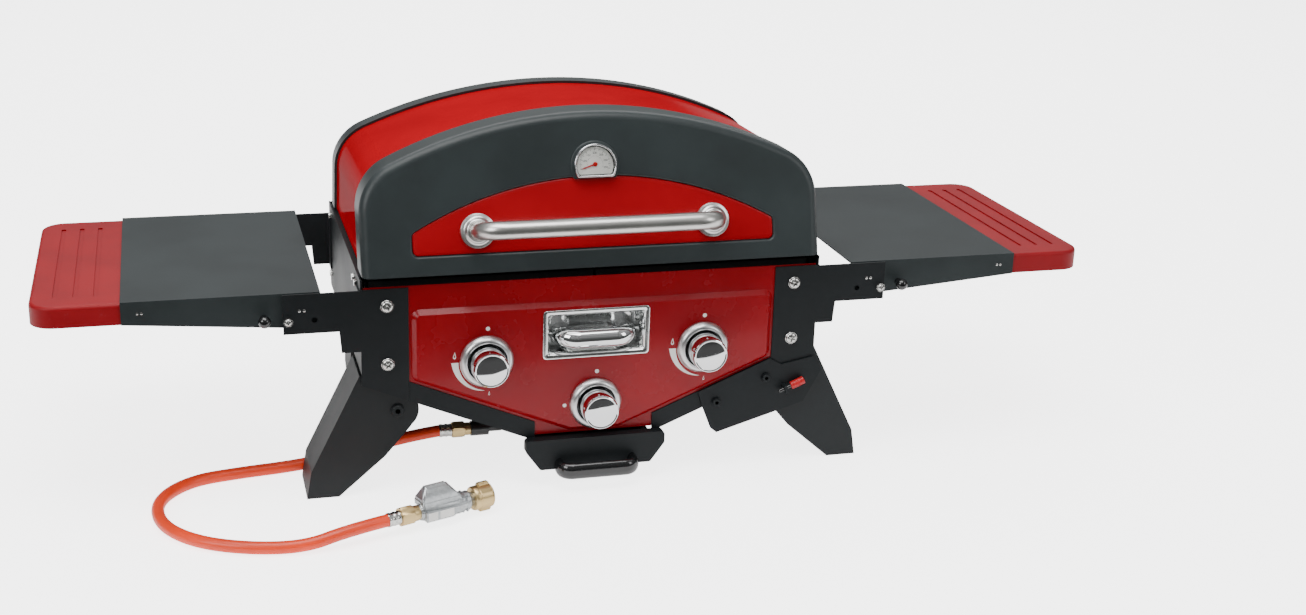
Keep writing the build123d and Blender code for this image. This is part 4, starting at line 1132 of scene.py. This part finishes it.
NECK = [
    (7.5, 88), (10.2, 88), (10.4, 93.5), (9.4, 95), (7.8, 96), (7.2, 98), (7, 106), (6.4, 106.5),
]
neck = moved(turned(NECK, 48), ALONG_X)
casting = together(barrel, bonnet, block, neck, *grips)
zinc = finishes["regulator_grey"]
make("regulator_casting", casting, zinc, "body", ["regulator_body"], reg_place, 28)
SPANS = [(41, 52), (54.5, 71)]
plates = [box_hull(span, (-13.5, -13.0), (-6.6, 2.2), 0.2, 1) for span in SPANS]
make("regulator_plate", together(*plates), white_print, "body", (), reg_place)
print("regulator placed")

# %% [markdown]
# The union nut is a brass cup with two lugs for the thumb, two fine grooves round its skirt and
# a thread inside. The thread is a stack of rings, close enough to a helix at this size.

# %% Union nut
cup = [
    (7.1, 99), (11.4, 99), (12.4, 99.7), (12.9, 101), (12.9, 104), (12.4, 104.5), (12.4, 105.3),
    (12.9, 105.8), (12.9, 117.6), (12.5, 118.2), (12.5, 119), (12.9, 119.6), (12.6, 120.6),
    (12, 121), (11.6, 121),
]
CRESTS, PITCH_MM = 6, 2
for i in range(CRESTS):
    cup += [(11.5, 119.6 - PITCH_MM * i), (10.95, 118.8 - PITCH_MM * i)]
cup += [(11.2, 107.2), (7.1, 107.2)]
nut = moved(turned(cup, 72, True), ALONG_X)
lugs = []
for turn in (-10, 170):
    lug = box_hull((106, 120), (-3.4, 3.4), (11, 15.6), 1.2)
    lugs.append(moved(lug, Matrix.Rotation(radians(turn), 4, "X")))
make("union_cup", together(nut, *lugs), finishes["brass"], "union_nut", ["wing_nut"], reg_place)
print("union nut with", len(lugs), "lugs")

# %% [markdown]
# ## Floor and light
# The grill stands on white paper without an edge. Upright steel and knobs mirror what lies in
# front of them, and chrome only reads as chrome when that is half light and half dark. So the
# paper is dark beyond a line in front of the grill, but only for light that bounces: a ray
# that comes straight from the camera sees white paper everywhere.

# %% Floor
GLOW_ROUND, GLOW_SEEN = 0.8, 3.6
DARK = (0.03, 0.03, 0.03)
FAR = 15
corners = [(-FAR, -FAR, 0), (FAR, -FAR, 0), (FAR, FAR, 0), (-FAR, FAR, 0)]
floor_mesh = bpy.data.meshes.new("floor")
floor_mesh.from_pydata(corners, [], [(0, 1, 2, 3)])
floor = bpy.data.objects.new("floor", floor_mesh)
floor.location.z = -0.0006
bpy.context.scene.collection.objects.link(floor)
paper = Finish("paper", None, Specular_IOR_Level=0.1, Emission_Strength=1.0)
fibres = paper.noise(40, 3.0)
straight = paper.node("ShaderNodeLightPath")
x = paper.node("ShaderNodeSeparateXYZ", None, {"Vector": paper.place()}, output=0)
y = paper.node("ShaderNodeSeparateXYZ", None, {"Vector": paper.place()}, output=1)
beyond = (-(y + x * 0.21 + 0.49)).step(0.0, 0.03)
white = paper.mix(fibres, (0.86, 0.86, 0.86), (0.89, 0.89, 0.89))
paper.set(Base_Color=paper.mix(beyond * (1 - straight), white, DARK), Roughness=fibres * 0.1 + 0.8)
bounced = paper.mix(beyond, (GLOW_ROUND,) * 3, DARK)
paper.set(Emission_Color=paper.mix(straight, bounced, (GLOW_SEEN,) * 3))
floor_mesh.materials.append(paper.material)


# %% [markdown]
# Four large soft lamps stand round the grill: the top one lights the lid, the left one is the
# main light, the right one opens the shadows, and the far one lights the paper behind. The
# room is dim with soft patches, which is what the chrome and the enamel mirror.

# %% Sky and lamps
def lamp(name, place, size, power, aim=(0, 0, 0.2)):
    light = bpy.data.lights.new(name, "AREA")
    light.shape = "RECTANGLE"
    light.size, light.size_y = size
    light.energy = power
    holder = bpy.data.objects.new(name, light)
    holder.location = place
    towards = Vector(aim) - Vector(place)
    holder.rotation_euler = towards.to_track_quat("-Z", "Y").to_euler()
    bpy.context.scene.collection.objects.link(holder)


lamp("top_lamp", (-0.3, -0.5, 2.2), (2.0, 1.2), 44)
lamp("left_lamp", (-2.3, -1.5, 1.7), (1.3, 1.3), 34)
lamp("right_lamp", (2.1, -1.9, 1.5), (0.9, 1.4), 16)
lamp("far_lamp", (0.6, 2.6, 2.6), (4.0, 2.4), 90, (0.6, 2.7, 0))

world = bpy.data.worlds.new("studio")
bpy.context.scene.world = world
world.use_nodes = True
sky = Tree(world.node_tree)
looking = sky.node("ShaderNodeTexCoord")
height = sky.node("ShaderNodeSeparateXYZ", None, {"Vector": looking}, output=2)
walls = [
    (0.0, (0.1, 0.1, 0.1)),
    (0.5, (0.06, 0.066, 0.06)),
    (0.6, (0.2, 0.2, 0.2)),
    (1.0, (0.5, 0.5, 0.5)),
]
tone = sky.node("ShaderNodeValToRGB", {"stops": walls}, {"Fac": height * 0.5 + 0.5})
back = world.node_tree.nodes["Background"]
patches = sky.node("ShaderNodeTexNoise", None, {"Vector": looking, "Scale": 7.0, "Detail": 5.0})
multiply = {"data_type": "RGBA", "blend_type": "MULTIPLY"}
room = {0: 1.0, 6: tone, 7: patches.step(0.3, 0.7) * 0.9 + 0.5}
room = sky.node("ShaderNodeMix", multiply, room, output=2)
white_sky = (*(GLOW_SEEN + 0.8,) * 3, 1)
either = {0: sky.node("ShaderNodeLightPath"), 6: room, 7: white_sky}
either = sky.node("ShaderNodeMix", {"data_type": "RGBA"}, either, output=2)
sky.feed(back.inputs["Color"], either)
sky.feed(back.inputs["Strength"], 1.0)
print("lamps", len(bpy.data.lights))
